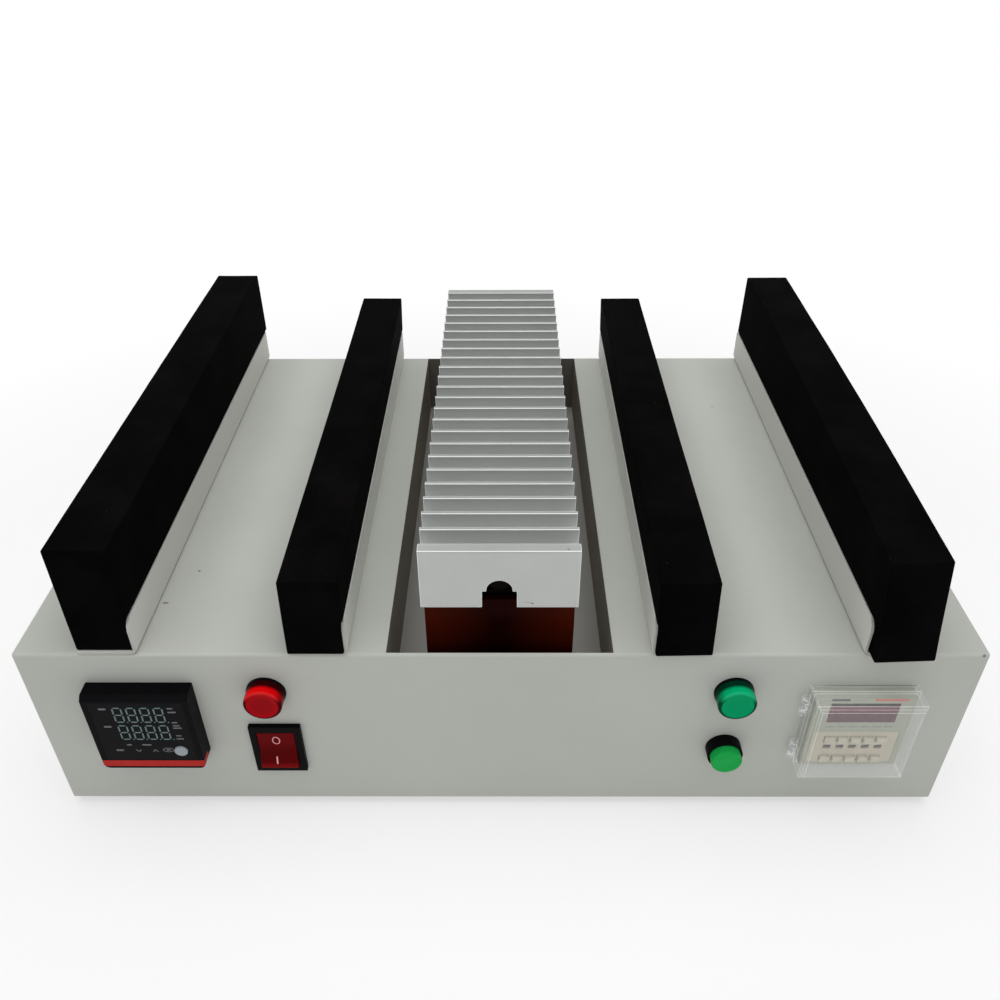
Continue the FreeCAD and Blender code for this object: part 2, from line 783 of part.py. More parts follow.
def make_foam(label, side, face, height):
    """A foam strip that stands on a rail's ledge, spills over the rail's leg and leans towards the middle."""
    body = new_body(f"foam_{label}")
    near = f"({face} + Dims.rail_thick)"
    far = f"({near} + Dims.foam_width)"
    start = f"({FRONT} - Dims.foam_lead_{label})"
    end = f"({FRONT} + Dims.case_depth + Dims.foam_tail_{label})"
    ledge = f"({TOP} + Dims.rail_thick)"
    crest = f"({TOP} + Dims.rail_leg)"
    top = f"({ledge} + {height})"
    spill = ("Dims.rail_thick", "Dims.rail_thick")
    near_lean = (f"Dims.foam_front_lean_{label}", f"Dims.foam_rear_lean_{label}")
    far_lean = (
        f"({near_lean[0]} - Dims.foam_front_swell_{label})",
        f"({near_lean[1]} - Dims.foam_rear_swell_{label})",
    )
    rise = f"(Dims.foam_shoulder / ({top} - {crest}))"
    risen_lean = (f"{rise} * {far_lean[0]}", f"{rise} * {far_lean[1]}")
    splay = (f"(-1) * Dims.foam_splay_{label}", "0")
    upright = ("0", "0")
    levels = (
        ("foot", ledge, splay, splay, "0"),
        ("crest", crest, upright, upright, "0"),
        ("shoulder", f"({crest} + Dims.foam_shoulder)", spill, risen_lean, rise),
        ("top", top, near_lean, far_lean, "1"),
    )
    outlines = []
    for name, level, near_leans, far_leans, share in levels:
        nod = f"{share} * Dims.foam_nod_{label}"
        near_start = f"({start} - {nod} - Dims.foam_skew_{label} / 2)"
        far_start = f"({start} - {nod} + Dims.foam_skew_{label} / 2)"
        near_points = foam_edge(side, near, near_leans, near_start, end)
        far_points = foam_edge(side, far, far_leans, far_start, end)
        outline = sketch(body, f"foam_{label}_{name}", "XY_Plane", level)
        polygon(outline, (*far_points, *reversed(near_points)))
        outlines.append(outline)
    loft(body, outlines)
    node(f"foam_{label}", body)


def make_rails():
    """Four rails with their foam strips, and the screws that hold them from inside the case."""
    screw_points = rail_screw_points()
    screws = []
    for label, side, face, height in RAILS:
        make_rail(label, side, face, screw_points[label])
        make_foam(label, side, face, height)
        for x, y in screw_points[label]:
            screws.append(screw("rail_screw", (x, y, UNDER_TOP), "+Z", "Dims.sheet_thick + Dims.rail_thick"))
    node("rail_screws", group("rail_screws", screws))


# Heater block

def make_heat_sink():
    """The finned block: end plates and cross fins above a thick base with a keyhole groove below."""
    body = new_body("heat_sink")
    width = around("0", "Dims.sink_width")
    blank = sketch(body, "sink_outline", "XY_Plane", SINK_BOTTOM)
    rectangle(blank, width, after(SINK_FRONT, SINK_LENGTH))
    pad(body, blank, "Dims.sink_height")

    fins = "Dims.fin_count * Dims.fin_thick"
    gap = f"(({SINK_LENGTH} - 2 * Dims.end_plate_thick - {fins}) / (Dims.fin_count + 1))"
    side = sketch(body, "sink_gap", "YZ_Plane", "Dims.sink_width / 2")
    rectangle(
        side,
        after(f"{SINK_FRONT} + Dims.end_plate_thick", gap),
        (f"{SINK_BOTTOM} + Dims.sink_base", SINK_TOP),
    )
    first = pocket(body, side, "Dims.sink_width")
    pattern(body, first, "Y_Axis", f"({gap} + Dims.fin_thick) * Dims.fin_count", "Dims.fin_count + 1")

    slot = sketch(body, "sink_slot", "XZ_Plane", SINK_FRONT)
    rectangle(slot, around("0", "Dims.slot_width"), after(SINK_BOTTOM, "Dims.slot_height"))
    pocket(body, slot, SINK_LENGTH)
    groove = sketch(body, "sink_groove", "XZ_Plane", SINK_FRONT)
    circle(groove, ("0", f"{SINK_BOTTOM} + Dims.slot_height"), "Dims.groove_radius")
    pocket(body, groove, SINK_LENGTH)

    threads = sketch(body, "sink_threads", "XY_Plane", SINK_BOTTOM)
    for points in long_screw_points().values():
        for point in points:
            circle(threads, point, "Dims.long_screw_radius + Dims.screw_gap")
    pocket(body, threads, "Dims.thread_depth", flip=True)
    probe = sketch(body, "sink_probe_hole", "XY_Plane", SINK_BOTTOM)
    circle(probe, ("Dims.probe_x", MIDDLE), "Dims.probe_radius + Dims.screw_gap")
    pocket(body, probe, "Dims.probe_depth", flip=True)
    node("heat_sink", body)


def make_insulators():
    """Insulating blocks under both ends of the heater block, and the long screws through them."""
    screws = []
    reach = "Dims.insulator_height + Dims.thread_depth"
    for label, start in INSULATOR_FRONTS.items():
        body = new_body(label)
        outline = sketch(body, f"{label}_outline", "XY_Plane", TROUGH_FLOOR)
        rectangle(outline, around("0", "Dims.insulator_width"), after(start, "Dims.insulator_thick"))
        pad(body, outline, "Dims.insulator_height")
        holes = sketch(body, f"{label}_holes", "XY_Plane", TROUGH_FLOOR)
        for x, y in long_screw_points()[label]:
            circle(holes, (x, y), "Dims.long_screw_radius + Dims.screw_gap")
            seat = (x, y, f"{TROUGH_FLOOR} - Dims.sheet_thick")
            screws.append(screw(
                "sink_screw", seat, "+Z", reach, "Dims.long_screw_radius",
                "Dims.long_screw_head_radius", "Dims.long_screw_head_height",
            ))
        pocket(body, holes, "Dims.insulator_height", flip=True)
        node(label, body)
    node("sink_screws", group("sink_screws", screws))


def make_heater():
    """The heater rod in the groove, the bar that closes the slot under it, and the probe beside it."""
    radius = "(Dims.groove_radius - Dims.heater_gap)"
    start = f"({SINK_FRONT} + Dims.heater_recess)"
    length = f"({SINK_LENGTH} - 2 * Dims.heater_recess)"
    centre = f"({SINK_BOTTOM} + Dims.slot_height)"
    node("heater_rod", rod("heater_rod", radius, length, ("0", start, centre), "+Y"))
    bar_height = f"Dims.slot_height - {radius} - Dims.heater_gap / 2"
    bar = box(
        "heater_clamp",
        around("0", "Dims.slot_width - 2 * Dims.heater_gap"),
        after(start, length),
        after(SINK_BOTTOM, bar_height),
    )
    node("heater_clamp", bar)

    seat = ("Dims.probe_x", MIDDLE, SINK_BOTTOM)
    below = ("Dims.probe_x", MIDDLE, f"{SINK_BOTTOM} - Dims.probe_hex_height")
    tip = rod("probe_tip", "Dims.probe_radius", "Dims.probe_depth - Dims.heater_gap", seat, "+Z")
    collar = hexagon("probe_collar", "Dims.probe_hex_radius", "Dims.probe_hex_height", seat, "-Z")
    tail = rod("probe_tail", "Dims.probe_radius", "Dims.probe_tail", below, "-Z")
    node("temperature_probe", fuse("temperature_probe", tip, collar, tail))


# Temperature controller

def make_controller():
    """The controller: a bevelled bezel with a housing behind it, a face, a trim and a round key."""
    x, z = CONTROLLER
    face_front = f"({FRONT} - Dims.controller_reach)"
    bottom = f"({z} - Dims.controller_bezel / 2)"
    blank = new_body("controller_blank")
    bezel = sketch(blank, "controller_bezel_outline", "XZ_Plane", FRONT)
    rectangle(bezel, around(x, "Dims.controller_bezel"), around(z, "Dims.controller_bezel"))
    pad(blank, bezel, "Dims.controller_reach")
    lowest = at_level("z", bottom)
    in_front = at_level("y", face_front)
    at_panel = at_level("y", FRONT)
    fillet(
        blank, "Dims.controller_round",
        lambda edge: lowest(edge) and not in_front(edge) and not at_panel(edge),
    )
    highest = at_level("z", f"{z} + Dims.controller_bezel / 2")
    chamfer(blank, "Dims.controller_chamfer", lambda edge: highest(edge) and in_front(edge))
    case = sketch(blank, "controller_case_outline", "XZ_Plane", FRONT)
    rectangle(case, around(x, "Dims.controller_body"), around(z, "Dims.controller_body"))
    pad(blank, case, "Dims.controller_depth", flip=True)

    face_xs = around(x, "Dims.face_width")
    face_zs = (f"{z} - Dims.face_bottom", f"{z} + Dims.face_top")
    key_centre = (f"{x} + Dims.round_key_x", face_front, f"{z} - Dims.round_key_drop")
    key_hole = "Dims.round_key_radius + Dims.cutout_gap"
    band = box(
        "controller_band",
        around(x, "Dims.controller_bezel"), after(face_front, "Dims.trim_depth"),
        after(f"{bottom} + Dims.trim_rise", "Dims.trim_height"),
    )
    recess = box(
        "controller_recess", face_xs, (f"{face_front} - {PAST}", f"{face_front} + Dims.face_thick"), face_zs
    )
    well = rod(
        "controller_key_well", key_hole, "Dims.face_thick + Dims.round_key_length + Dims.round_key_travel",
        key_centre, "+Y",
    )
    node("controller_housing", cut("controller_housing", blank, recess, band, well))
    node("controller_trim", common("controller_trim", blank, band))
    plate = box("controller_plate", face_xs, after(face_front, "Dims.face_thick"), face_zs)
    hole = rod("controller_key_hole", key_hole, "Dims.face_thick", key_centre, "+Y")
    node("controller_face", cut("controller_face", plate, hole))
    key_start = (key_centre[0], f"{face_front} - Dims.round_key_proud", key_centre[2])
    key = rod("controller_key", "Dims.round_key_radius", "Dims.round_key_length", key_start, "+Y")
    node("controller_key", key)


def make_clips():
    """Square clips pushed on from behind, which hold the two instruments against the panel."""
    clips = []
    for (x, z), size in ((CONTROLLER, "Dims.controller_body"), (TIMER, "Dims.timer_body")):
        inner = f"({size} + 2 * Dims.clip_gap)"
        outer = f"({inner} + 2 * Dims.clip_wall)"
        ys = after(BEHIND_FRONT, "Dims.clip_thick")
        ring = box("clip_ring", around(x, outer), ys, around(z, outer))
        hole = box("clip_hole", around(x, inner), ys, around(z, inner))
        clips.append(cut("instrument_clip", ring, hole))
    node("instrument_clips", group("instrument_clips", clips))


# Lamps, switch and button

def make_lens(label, centre):
    """A hollow round lens in front of a lamp body."""
    body = new_body(label)
    seat = f"({FRONT} - Dims.lamp_flange)"
    length = "(Dims.lamp_reach - Dims.lamp_flange)"
    outline = sketch(body, f"{label}_outline", "XZ_Plane", seat)
    circle(outline, centre, "Dims.lens_radius")
    pad(body, outline, length)
    fillet(body, "Dims.lens_round", at_level("y", f"{FRONT} - Dims.lamp_reach"))
    hollow = sketch(body, f"{label}_hollow", "XZ_Plane", seat)
    circle(hollow, centre, "Dims.lens_radius - Dims.lens_wall")
    pocket(body, hollow, f"{length} - Dims.lens_wall", flip=True)
    node(label, body)


def make_panel_nut(centre, barrel_radius):
    """A six-sided nut behind the panel, on a round barrel."""
    x, z = centre
    start = (x, BEHIND_FRONT, z)
    bore = f"({barrel_radius} + Dims.nut_gap)"
    blank = hexagon("panel_nut_blank", f"{bore} + Dims.nut_wall", "Dims.nut_thick", start, "+Y")
    return cut("panel_nut", blank, rod("panel_nut_bore", bore, "Dims.nut_thick", start, "+Y"))


def make_lamps():
    """Two pilot lamps, and the nuts that hold them and the push button."""
    bodies = []
    nuts = [make_panel_nut(BUTTON, "Dims.button_barrel_radius")]
    for label, centre in (("red_lamp_lens", RED_LAMP), ("green_lamp_lens", GREEN_LAMP)):
        make_lens(label, centre)
        x, z = centre
        seat = (x, f"{FRONT} - Dims.lamp_flange", z)
        flange = rod("lamp_flange", "Dims.lamp_radius", "Dims.lamp_flange", seat, "+Y")
        barrel = rod("lamp_barrel", "Dims.lamp_barrel_radius", "Dims.lamp_depth", (x, FRONT, z), "+Y")
        bulb = rod("lamp_bulb", "Dims.lamp_bulb_radius", "Dims.lamp_bulb_length", seat, "-Y")
        bodies.append(fuse("lamp_body", flange, barrel, bulb))
        nuts.append(make_panel_nut(centre, "Dims.lamp_barrel_radius"))
    node("lamp_bodies", group("lamp_bodies", bodies))
    node("panel_nuts", group("panel_nuts", nuts))


def make_switch():
    """The rocker switch. At rest the upper half of the rocker is pressed in and its face is flush."""
    x, z = SWITCH
    bezel_front = f"({FRONT} - Dims.switch_bezel_reach)"
    pivot = f"({FRONT} + Dims.rocker_pivot_depth)"
    bezel = box(
        "switch_bezel",
        around(x, "Dims.switch_bezel_width"), (bezel_front, FRONT), around(z, "Dims.switch_bezel_height"),
    )
    case = box(
        "switch_case",
        around(x, "Dims.switch_body_width"), after(FRONT, "Dims.switch_depth"),
        around(z, "Dims.switch_body_height"),
    )
    room_width = "(Dims.rocker_width + 2 * Dims.rocker_gap)"
    room_start = (f"{x} - {room_width} / 2", pivot, z)
    room = rod("switch_room", "Dims.rocker_radius + Dims.rocker_gap", room_width, room_start, "+X")
    pin_span = "(Dims.rocker_width + 2 * Dims.rocker_pin_length)"
    pin_start = (f"{x} - {pin_span} / 2", pivot, z)
    bore_start = (f"{x} - {pin_span} / 2 - Dims.running_gap", pivot, z)
    bore = rod(
        "switch_bore", "Dims.rocker_pin_radius + Dims.running_gap", f"{pin_span} + 2 * Dims.running_gap",
        bore_start, "+X",
    )
    node("rocker_housing", cut("rocker_housing", fuse("switch_blank", bezel, case), room, bore))

    body = new_body("rocker_blank")
    disc = sketch(body, "rocker_disc", "YZ_Plane", f"{x} - Dims.rocker_width / 2")
    circle(disc, (pivot, z), "Dims.rocker_radius")
    pad(body, disc, "Dims.rocker_width")
    reach = "(2 * Dims.rocker_radius)"
    lean = f"({bezel_front} - {reach} * tan(Dims.rocker_tilt))"
    ahead = f"({bezel_front} - 2 * {reach})"
    faces = sketch(body, "rocker_faces", "YZ_Plane", f"{x} + Dims.rocker_width / 2")
    polygon(faces, (
        (bezel_front, f"{z} + {reach}"), (bezel_front, z), (lean, f"{z} - {reach}"),
        (ahead, f"{z} - {reach}"), (ahead, f"{z} + {reach}"),
    ))
    pocket(body, faces, "Dims.rocker_width")
    back = sketch(body, "rocker_underside", "YZ_Plane", f"{x} + Dims.rocker_width / 2")
    rectangle(back, after(f"{pivot} + Dims.rocker_back", reach), around(z, f"2 * {reach}"))
    pocket(body, back, "Dims.rocker_width")
    pins = rod("rocker_pins", "Dims.rocker_pin_radius", pin_span, pin_start, "+X")
    node("rocker", fuse("rocker", body, pins))


def make_spring(start, length):
    """A coil spring along Y, one unbroken wire from end to end."""
    wire_radius = number("Dims.spring_wire_radius")
    radius = number("Dims.spring_radius")
    turns = number("Dims.spring_turns")
    coil_length = length - 2 * wire_radius
    count = round(turns * number("Dims.spring_turn_points"))
    points = []
    for step in range(count + 1):
        angle = 2 * math.pi * turns * step / count
        points.append(FreeCAD.Vector(radius * math.cos(angle), radius * math.sin(angle), coil_length * step / count))
    coil = Part.BSplineCurve()
    coil.interpolate(points)
    slope = math.atan2(coil_length / turns, 2 * math.pi * radius)
    along = FreeCAD.Vector(0, math.cos(slope), math.sin(slope))
    section = Part.Wire(Part.makeCircle(wire_radius, FreeCAD.Vector(radius, 0, 0), along))
    spring = doc.addObject("Part::Feature", "button_spring")
    spring.Shape = Part.Wire(coil.toShape()).makePipeShell([section], True, True)
    spring.Placement = FreeCAD.Placement(start + FreeCAD.Vector(0, wire_radius, 0), TURNS["+Y"])
    node("button_spring", spring)


def make_button():
    """The push button: a collar and barrel, a cap that slides in it on a stem, and a return spring."""
    x, z = BUTTON
    ring_front = f"({FRONT} - Dims.ring_reach)"
    cap_front = f"({FRONT} - Dims.cap_reach)"
    cap_rear = f"({cap_front} + Dims.cap_length)"
    rear = f"({FRONT} + Dims.button_depth)"
    collar = rod("button_collar", "Dims.ring_radius", "Dims.ring_reach", (x, ring_front, z), "+Y")
    thread = rod("button_thread", "Dims.button_barrel_radius", "Dims.button_depth", (x, FRONT, z), "+Y")
    bore = rod(
        "button_bore", "Dims.cap_radius + Dims.cap_gap", "Dims.ring_reach + Dims.bore_depth",
        (x, ring_front, z), "+Y",
    )
    guide = rod(
        "button_guide", "Dims.stem_radius + Dims.running_gap", "Dims.button_depth", (x, FRONT, z), "+Y"
    )
    node("button_barrel", cut("button_barrel", fuse("button_blank", collar, thread), bore, guide))

    body = new_body("button_cap")
    head = sketch(body, "cap_outline", "XZ_Plane", cap_front)
    circle(head, BUTTON, "Dims.cap_radius")
    pad(body, head, "Dims.cap_length", flip=True)
    fillet(body, "Dims.cap_round", at_level("y", cap_front))
    stem = sketch(body, "stem_outline", "XZ_Plane", cap_rear)
    circle(stem, BUTTON, "Dims.stem_radius")
    pad(body, stem, f"{rear} + Dims.stem_tail - {cap_rear}", flip=True)
    node("button_cap", body)

    seat = number("Dims.spring_seat")
    start = FreeCAD.Vector(number(x), number(cap_rear) + seat, number(z))
    make_spring(start, number(f"{FRONT} + Dims.bore_depth") - start.y - seat)


# Timer

def digit_x(step):
    """The place of one of the five digits along the panel."""
    return f"{TIMER[0]} + {step} * Dims.digit_pitch"


def make_timer():
    """The timer: a housing with a well for the wheels, a face, a window, a key panel, wheels and keys."""
    x, z = TIMER
    front = f"({FRONT} - Dims.timer_reach)"
    inlay_rear = f"({front} + Dims.timer_face_thick)"
    inlay_ys = (front, inlay_rear)
    bezel = box("timer_front", around(x, "Dims.timer_bezel"), (front, FRONT), around(z, "Dims.timer_bezel"))
    case = box(
        "timer_case", around(x, "Dims.timer_body"), after(FRONT, "Dims.timer_depth"), around(z, "Dims.timer_body")
    )
    recess = box(
        "timer_recess",
        around(x, "Dims.timer_face_size"), (f"{front} - {PAST}", inlay_rear), around(z, "Dims.timer_face_size"),
    )
    well_width = "(5 * Dims.digit_pitch + 2 * Dims.key_gap)"
    well_zs = (
        f"{z} - Dims.lower_key_drop - Dims.key_height / 2 - 2 * Dims.key_gap",
        f"{z} - Dims.upper_key_drop + Dims.key_height / 2 + 2 * Dims.key_gap",
    )
    well = box("timer_well", around(x, well_width), after(inlay_rear, "Dims.well_depth"), well_zs)
    wheel_y = f"({inlay_rear} + Dims.wheel_gap + Dims.wheel_radius)"
    wheel_z = f"({z} - Dims.digit_drop)"
    shaft_start = (f"{x} - {well_width} / 2", wheel_y, wheel_z)
    shaft = rod("wheel_shaft", "Dims.wheel_shaft_radius", well_width, shaft_start, "+X")
    shell = cut("timer_shell", fuse("timer_blank", bezel, case), recess, well)
    node("timer_housing", fuse("timer_housing", shell, shaft))

    window_zs = around(f"{z} + Dims.window_rise", "Dims.window_height")
    panel_zs = around(f"{z} - Dims.key_panel_drop", "Dims.key_panel_height")
    plate = box(
        "timer_plate", around(x, "Dims.timer_face_size"), inlay_ys, around(z, "Dims.timer_face_size")
    )
    window_hole = box("timer_window_hole", around(x, "Dims.window_width"), inlay_ys, window_zs)
    panel_hole = box("timer_panel_hole", around(x, "Dims.key_panel_width"), inlay_ys, panel_zs)
    node("timer_face", cut("timer_face", plate, window_hole, panel_hole))

    fit = "2 * Dims.inlay_gap"
    window = box(
        "timer_window",
        around(x, f"Dims.window_width - {fit}"), inlay_ys,
        around(f"{z} + Dims.window_rise", f"Dims.window_height - {fit}"),
    )
    node("timer_window", window)

    panel = box(
        "key_panel_plate",
        around(x, f"Dims.key_panel_width - {fit}"), inlay_ys,
        around(f"{z} - Dims.key_panel_drop", f"Dims.key_panel_height - {fit}"),
    )
    holes = []
    room = "2 * Dims.key_gap"
    rows = {"upper_key": "Dims.upper_key_drop", "lower_key": "Dims.lower_key_drop"}
    for step in FIVE:
        middle = digit_x(step)
        holes.append(box(
            "digit_hole", around(middle, "Dims.digit_window_width"), inlay_ys,
            around(wheel_z, "Dims.digit_window_height"),
        ))
        for drop in rows.values():
            holes.append(box(
                "key_hole", around(middle, f"Dims.key_width + {room}"), inlay_ys,
                around(f"{z} - {drop}", f"Dims.key_height + {room}"),
            ))
    node("timer_key_panel", cut("timer_key_panel", panel, *holes))

    key_ys = (f"{front} - Dims.key_proud", f"{inlay_rear} + Dims.key_tail")
    for place_number, step in enumerate(FIVE, start=1):
        middle = digit_x(step)
        start = (f"{middle} - Dims.wheel_width / 2", wheel_y, wheel_z)
        rim = rod(f"wheel_rim_{place_number}", "Dims.wheel_radius", "Dims.wheel_width", start, "+X")
        bore = rod(
            f"wheel_bore_{place_number}", "Dims.wheel_shaft_radius + Dims.running_gap", "Dims.wheel_width",
            start, "+X",
        )
        node(f"digit_wheel_{place_number}", cut(f"digit_wheel_{place_number}", rim, bore))
        for row_name, drop in rows.items():
            name = f"{row_name}_{place_number}"
            key = box(name, around(middle, "Dims.key_width"), key_ys, around(f"{z} - {drop}", "Dims.key_height"))
            node(name, key)


def make_timer_cover():
    """The clear cover: a frame against the panel that carries two hinge pins, and a lid that swings on them."""
    x, z = TIMER
    ring_front = f"({FRONT} - Dims.frame_depth)"
    lid_rear = f"({ring_front} - Dims.lid_gap)"
    lid_front = f"({FRONT} - Dims.cover_reach)"
    left = f"({x} - Dims.cover_size / 2)"
    hinge_x = f"({left} - Dims.hinge_offset)"
    hinge_y = f"({ring_front} - Dims.lid_gap / 2)"
    outer = "Dims.cover_size"
    inner = "Dims.timer_bezel + 2 * Dims.cover_fit"

    tray = new_body("cover_tray")
    outline = sketch(tray, "tray_outline", "XZ_Plane", lid_rear)
    rectangle(outline, around(x, outer), around(z, outer))
    depth = f"({lid_rear} - {lid_front})"
    pad(tray, outline, depth)
    chamfer(tray, "Dims.cover_chamfer", at_level("y", lid_front))
    hollow = sketch(tray, "tray_hollow", "XZ_Plane", lid_rear)
    room = f"{outer} - 2 * Dims.cover_wall"
    rectangle(hollow, around(x, room), around(z, room))
    pocket(tray, hollow, f"{depth} - Dims.cover_wall", flip=True)

    ring = box("frame_ring", around(x, outer), (ring_front, FRONT), around(z, outer))
    hole = box("frame_hole", around(x, inner), (ring_front, FRONT), around(z, inner))
    frame_pieces = [cut("frame_wall", ring, hole)]
    lid_pieces = [tray]
    bores = []
    arm_xs = (hinge_x, left)
    lid_arm_ys = (f"{lid_rear} - Dims.knuckle_radius", lid_rear)
    frame_arm_ys = after(ring_front, "Dims.knuckle_radius")
    pin_length = "(Dims.knuckle_length + 2 * Dims.knuckle_gap + 2 * Dims.lug_length)"
    for side in BOTH:
        middle = f"({z} + {side} * Dims.knuckle_spread)"
        low, high = around(middle, "Dims.knuckle_length")
        lid_pieces.append(rod("lid_knuckle", "Dims.knuckle_radius", "Dims.knuckle_length",
                              (hinge_x, hinge_y, low), "+Z"))
        lid_pieces.append(box("lid_arm", arm_xs, lid_arm_ys, (low, high)))
        pin_low = f"({middle} - {pin_length} / 2)"
        bores.append(rod("lid_bore", "Dims.hinge_pin_radius + Dims.running_gap", pin_length,
                         (hinge_x, hinge_y, pin_low), "+Z"))
        frame_pieces.append(rod("hinge_pin", "Dims.hinge_pin_radius", pin_length,
                                (hinge_x, hinge_y, pin_low), "+Z"))
        for lug_low in (pin_low, f"({high} + Dims.knuckle_gap)"):
            frame_pieces.append(rod("frame_lug", "Dims.knuckle_radius", "Dims.lug_length",
                                    (hinge_x, hinge_y, lug_low), "+Z"))
            frame_pieces.append(box("frame_arm", arm_xs, frame_arm_ys, after(lug_low, "Dims.lug_length")))
    node("cover_frame", fuse("cover_frame", *frame_pieces))
    node("cover_lid", cut("cover_lid", fuse("lid_blank", *lid_pieces), *bores))


# Mains parts

def make_inlet():
    """The mains inlet: a flange on the rear panel, a socket with three blades, and a body inside."""
    x, z = INLET
    mouth = f"({REAR} + Dims.inlet_reach)"
    flange = box(
        "inlet_flange",
        around(x, "Dims.inlet_flange_width"), (REAR, mouth), around(z, "Dims.inlet_flange_height"),
    )
    case = box(
        "inlet_case",
        around(x, "Dims.inlet_body_width"), (f"{REAR} - Dims.inlet_depth", REAR),
        around(z, "Dims.inlet_body_height"),
    )
    bottom = f"({mouth} - Dims.socket_depth)"
    socket = box(
        "inlet_socket",
        around(x, "Dims.socket_width"), (bottom, f"{mouth} + {PAST}"), around(z, "Dims.socket_height"),
    )
    shell = cut("inlet_shell", fuse("inlet_blank", flange, case), socket)
    blades = []
    for step in THREE:
        rise = "Dims.blade_rise" if step == 0 else "-Dims.blade_rise"
        blades.append(box(
            "inlet_blade",
            around(f"{x} + {step} * Dims.blade_pitch", "Dims.blade_width"), after(bottom, "Dims.blade_length"),
            around(f"{z} + {rise}", "Dims.blade_height"),
        ))
    node("power_inlet", fuse("power_inlet", shell, *blades))


def make_relay():
    """The solid state relay, flat on the base plate, with a terminal well at each corner."""
    x = f"({LEFT} + Dims.relay_inset)"
    y = f"({REAR} - Dims.relay_rear)"
    high = f"({FLOOR} + Dims.relay_height)"
    case = box(
        "relay_case", around(x, "Dims.relay_width"), around(y, "Dims.relay_length"),
        after(FLOOR, "Dims.relay_height"),
    )
    wells = []
    reach_x = "(Dims.relay_width / 2 - Dims.relay_terminal_inset)"
    reach_y = "(Dims.relay_length / 2 - Dims.relay_terminal_inset)"
    for side in BOTH:
        for end in BOTH:
            centre = (f"{x} + {side} * {reach_x}", f"{y} + {end} * {reach_y}", high)
            wells.append(rod("relay_well", "Dims.relay_terminal_radius", "Dims.relay_terminal_depth", centre, "-Z"))
    node("solid_state_relay", cut("solid_state_relay", case, *wells))


def make_terminal_block():
    """The terminal block, flat on the base plate, with a row of screw wells."""
    x = f"({RIGHT} - Dims.terminal_inset)"
    y = f"({REAR} - Dims.terminal_rear)"
    high = f"({FLOOR} + Dims.terminal_height)"
    case = box(
        "terminal_case", around(x, "Dims.terminal_length"), around(y, "Dims.terminal_width"),
        after(FLOOR, "Dims.terminal_height"),
    )
    wells = []
    for step in FIVE:
        centre = (f"{x} + {step} * Dims.terminal_pitch", y, high)
        wells.append(rod("terminal_well", "Dims.terminal_hole_radius", "Dims.terminal_hole_depth", centre, "-Z"))
    node("terminal_block", cut("terminal_block", case, *wells))


def write_parts():
    """Check every object and every piece, then write one file for each piece."""
    doc.recompute()
    broken = [item.Name for item in doc.Objects if {"Invalid", "Error"} & set(item.State)]
    broken += [piece.Label for piece in NODES if piece.Shape.isNull() or not piece.Shape.isValid()]
    if broken:
        raise RuntimeError(f"these objects failed: {broken}")
    os.makedirs("parts", exist_ok=True)
    for piece in NODES:
        piece.Shape.exportStep(f"parts/{piece.Label}.step")
        print(f"{piece.Label}: {len(piece.Shape.Solids)} solids, {piece.Shape.Volume:.1f} cubic mm")


make_case_cover()
make_trough()
make_base()
make_feet()
make_rails()
make_heat_sink()
make_insulators()
make_heater()
make_controller()
make_clips()
make_lamps()
make_switch()
make_button()
make_timer()
make_timer_cover()
make_inlet()
make_relay()
make_terminal_block()
write_parts()
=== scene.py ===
"""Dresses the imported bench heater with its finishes, foam, prints and fine edges, in a plain studio."""

import functools
import json
import logging
import math
from collections.abc import Iterable, Iterator, Sequence
from dataclasses import dataclass
from enum import Enum
from typing import Any, Protocol

import bmesh
import bpy
from mathutils import Matrix, Vector, noise


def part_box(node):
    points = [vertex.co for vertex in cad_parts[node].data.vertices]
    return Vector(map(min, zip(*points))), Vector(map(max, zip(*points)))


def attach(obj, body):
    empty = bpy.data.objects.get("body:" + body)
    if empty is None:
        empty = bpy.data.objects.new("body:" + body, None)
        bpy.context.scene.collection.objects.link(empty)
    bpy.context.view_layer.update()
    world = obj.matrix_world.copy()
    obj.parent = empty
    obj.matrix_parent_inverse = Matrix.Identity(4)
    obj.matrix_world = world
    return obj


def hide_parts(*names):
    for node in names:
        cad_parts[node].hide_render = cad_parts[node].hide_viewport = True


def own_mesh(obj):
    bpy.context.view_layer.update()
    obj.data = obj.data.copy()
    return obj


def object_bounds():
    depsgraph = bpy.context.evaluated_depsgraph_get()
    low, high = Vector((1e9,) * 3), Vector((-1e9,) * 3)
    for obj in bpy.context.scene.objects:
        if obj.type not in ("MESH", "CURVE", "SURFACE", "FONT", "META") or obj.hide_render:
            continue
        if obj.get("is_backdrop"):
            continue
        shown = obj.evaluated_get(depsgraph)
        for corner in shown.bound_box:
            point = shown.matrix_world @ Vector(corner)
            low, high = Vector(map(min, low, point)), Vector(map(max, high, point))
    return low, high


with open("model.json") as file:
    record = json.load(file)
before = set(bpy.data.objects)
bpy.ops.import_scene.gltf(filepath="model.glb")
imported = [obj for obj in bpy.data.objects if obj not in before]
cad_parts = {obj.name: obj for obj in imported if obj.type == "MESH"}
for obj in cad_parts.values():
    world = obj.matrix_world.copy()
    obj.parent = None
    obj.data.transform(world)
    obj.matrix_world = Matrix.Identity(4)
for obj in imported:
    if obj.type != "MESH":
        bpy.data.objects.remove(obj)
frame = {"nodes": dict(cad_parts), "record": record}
CAD_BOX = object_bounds()
LOG = logging.getLogger("bench_heater")

MM = 0.001
MERGE_DISTANCE = 0.001 * MM
FLAT_ANGLE = math.radians(0.4)
HARD_ANGLE = math.radians(30)
ROUND_BEVEL = 0.5
QUARTER_TURN = math.pi / 2
WHOLE_TURN = 2 * math.pi

SRGB_STEPS = 255
SRGB_KNEE = 0.04045
SRGB_SLOPE = 12.92
SRGB_OFFSET = 0.055
SRGB_POWER = 2.4

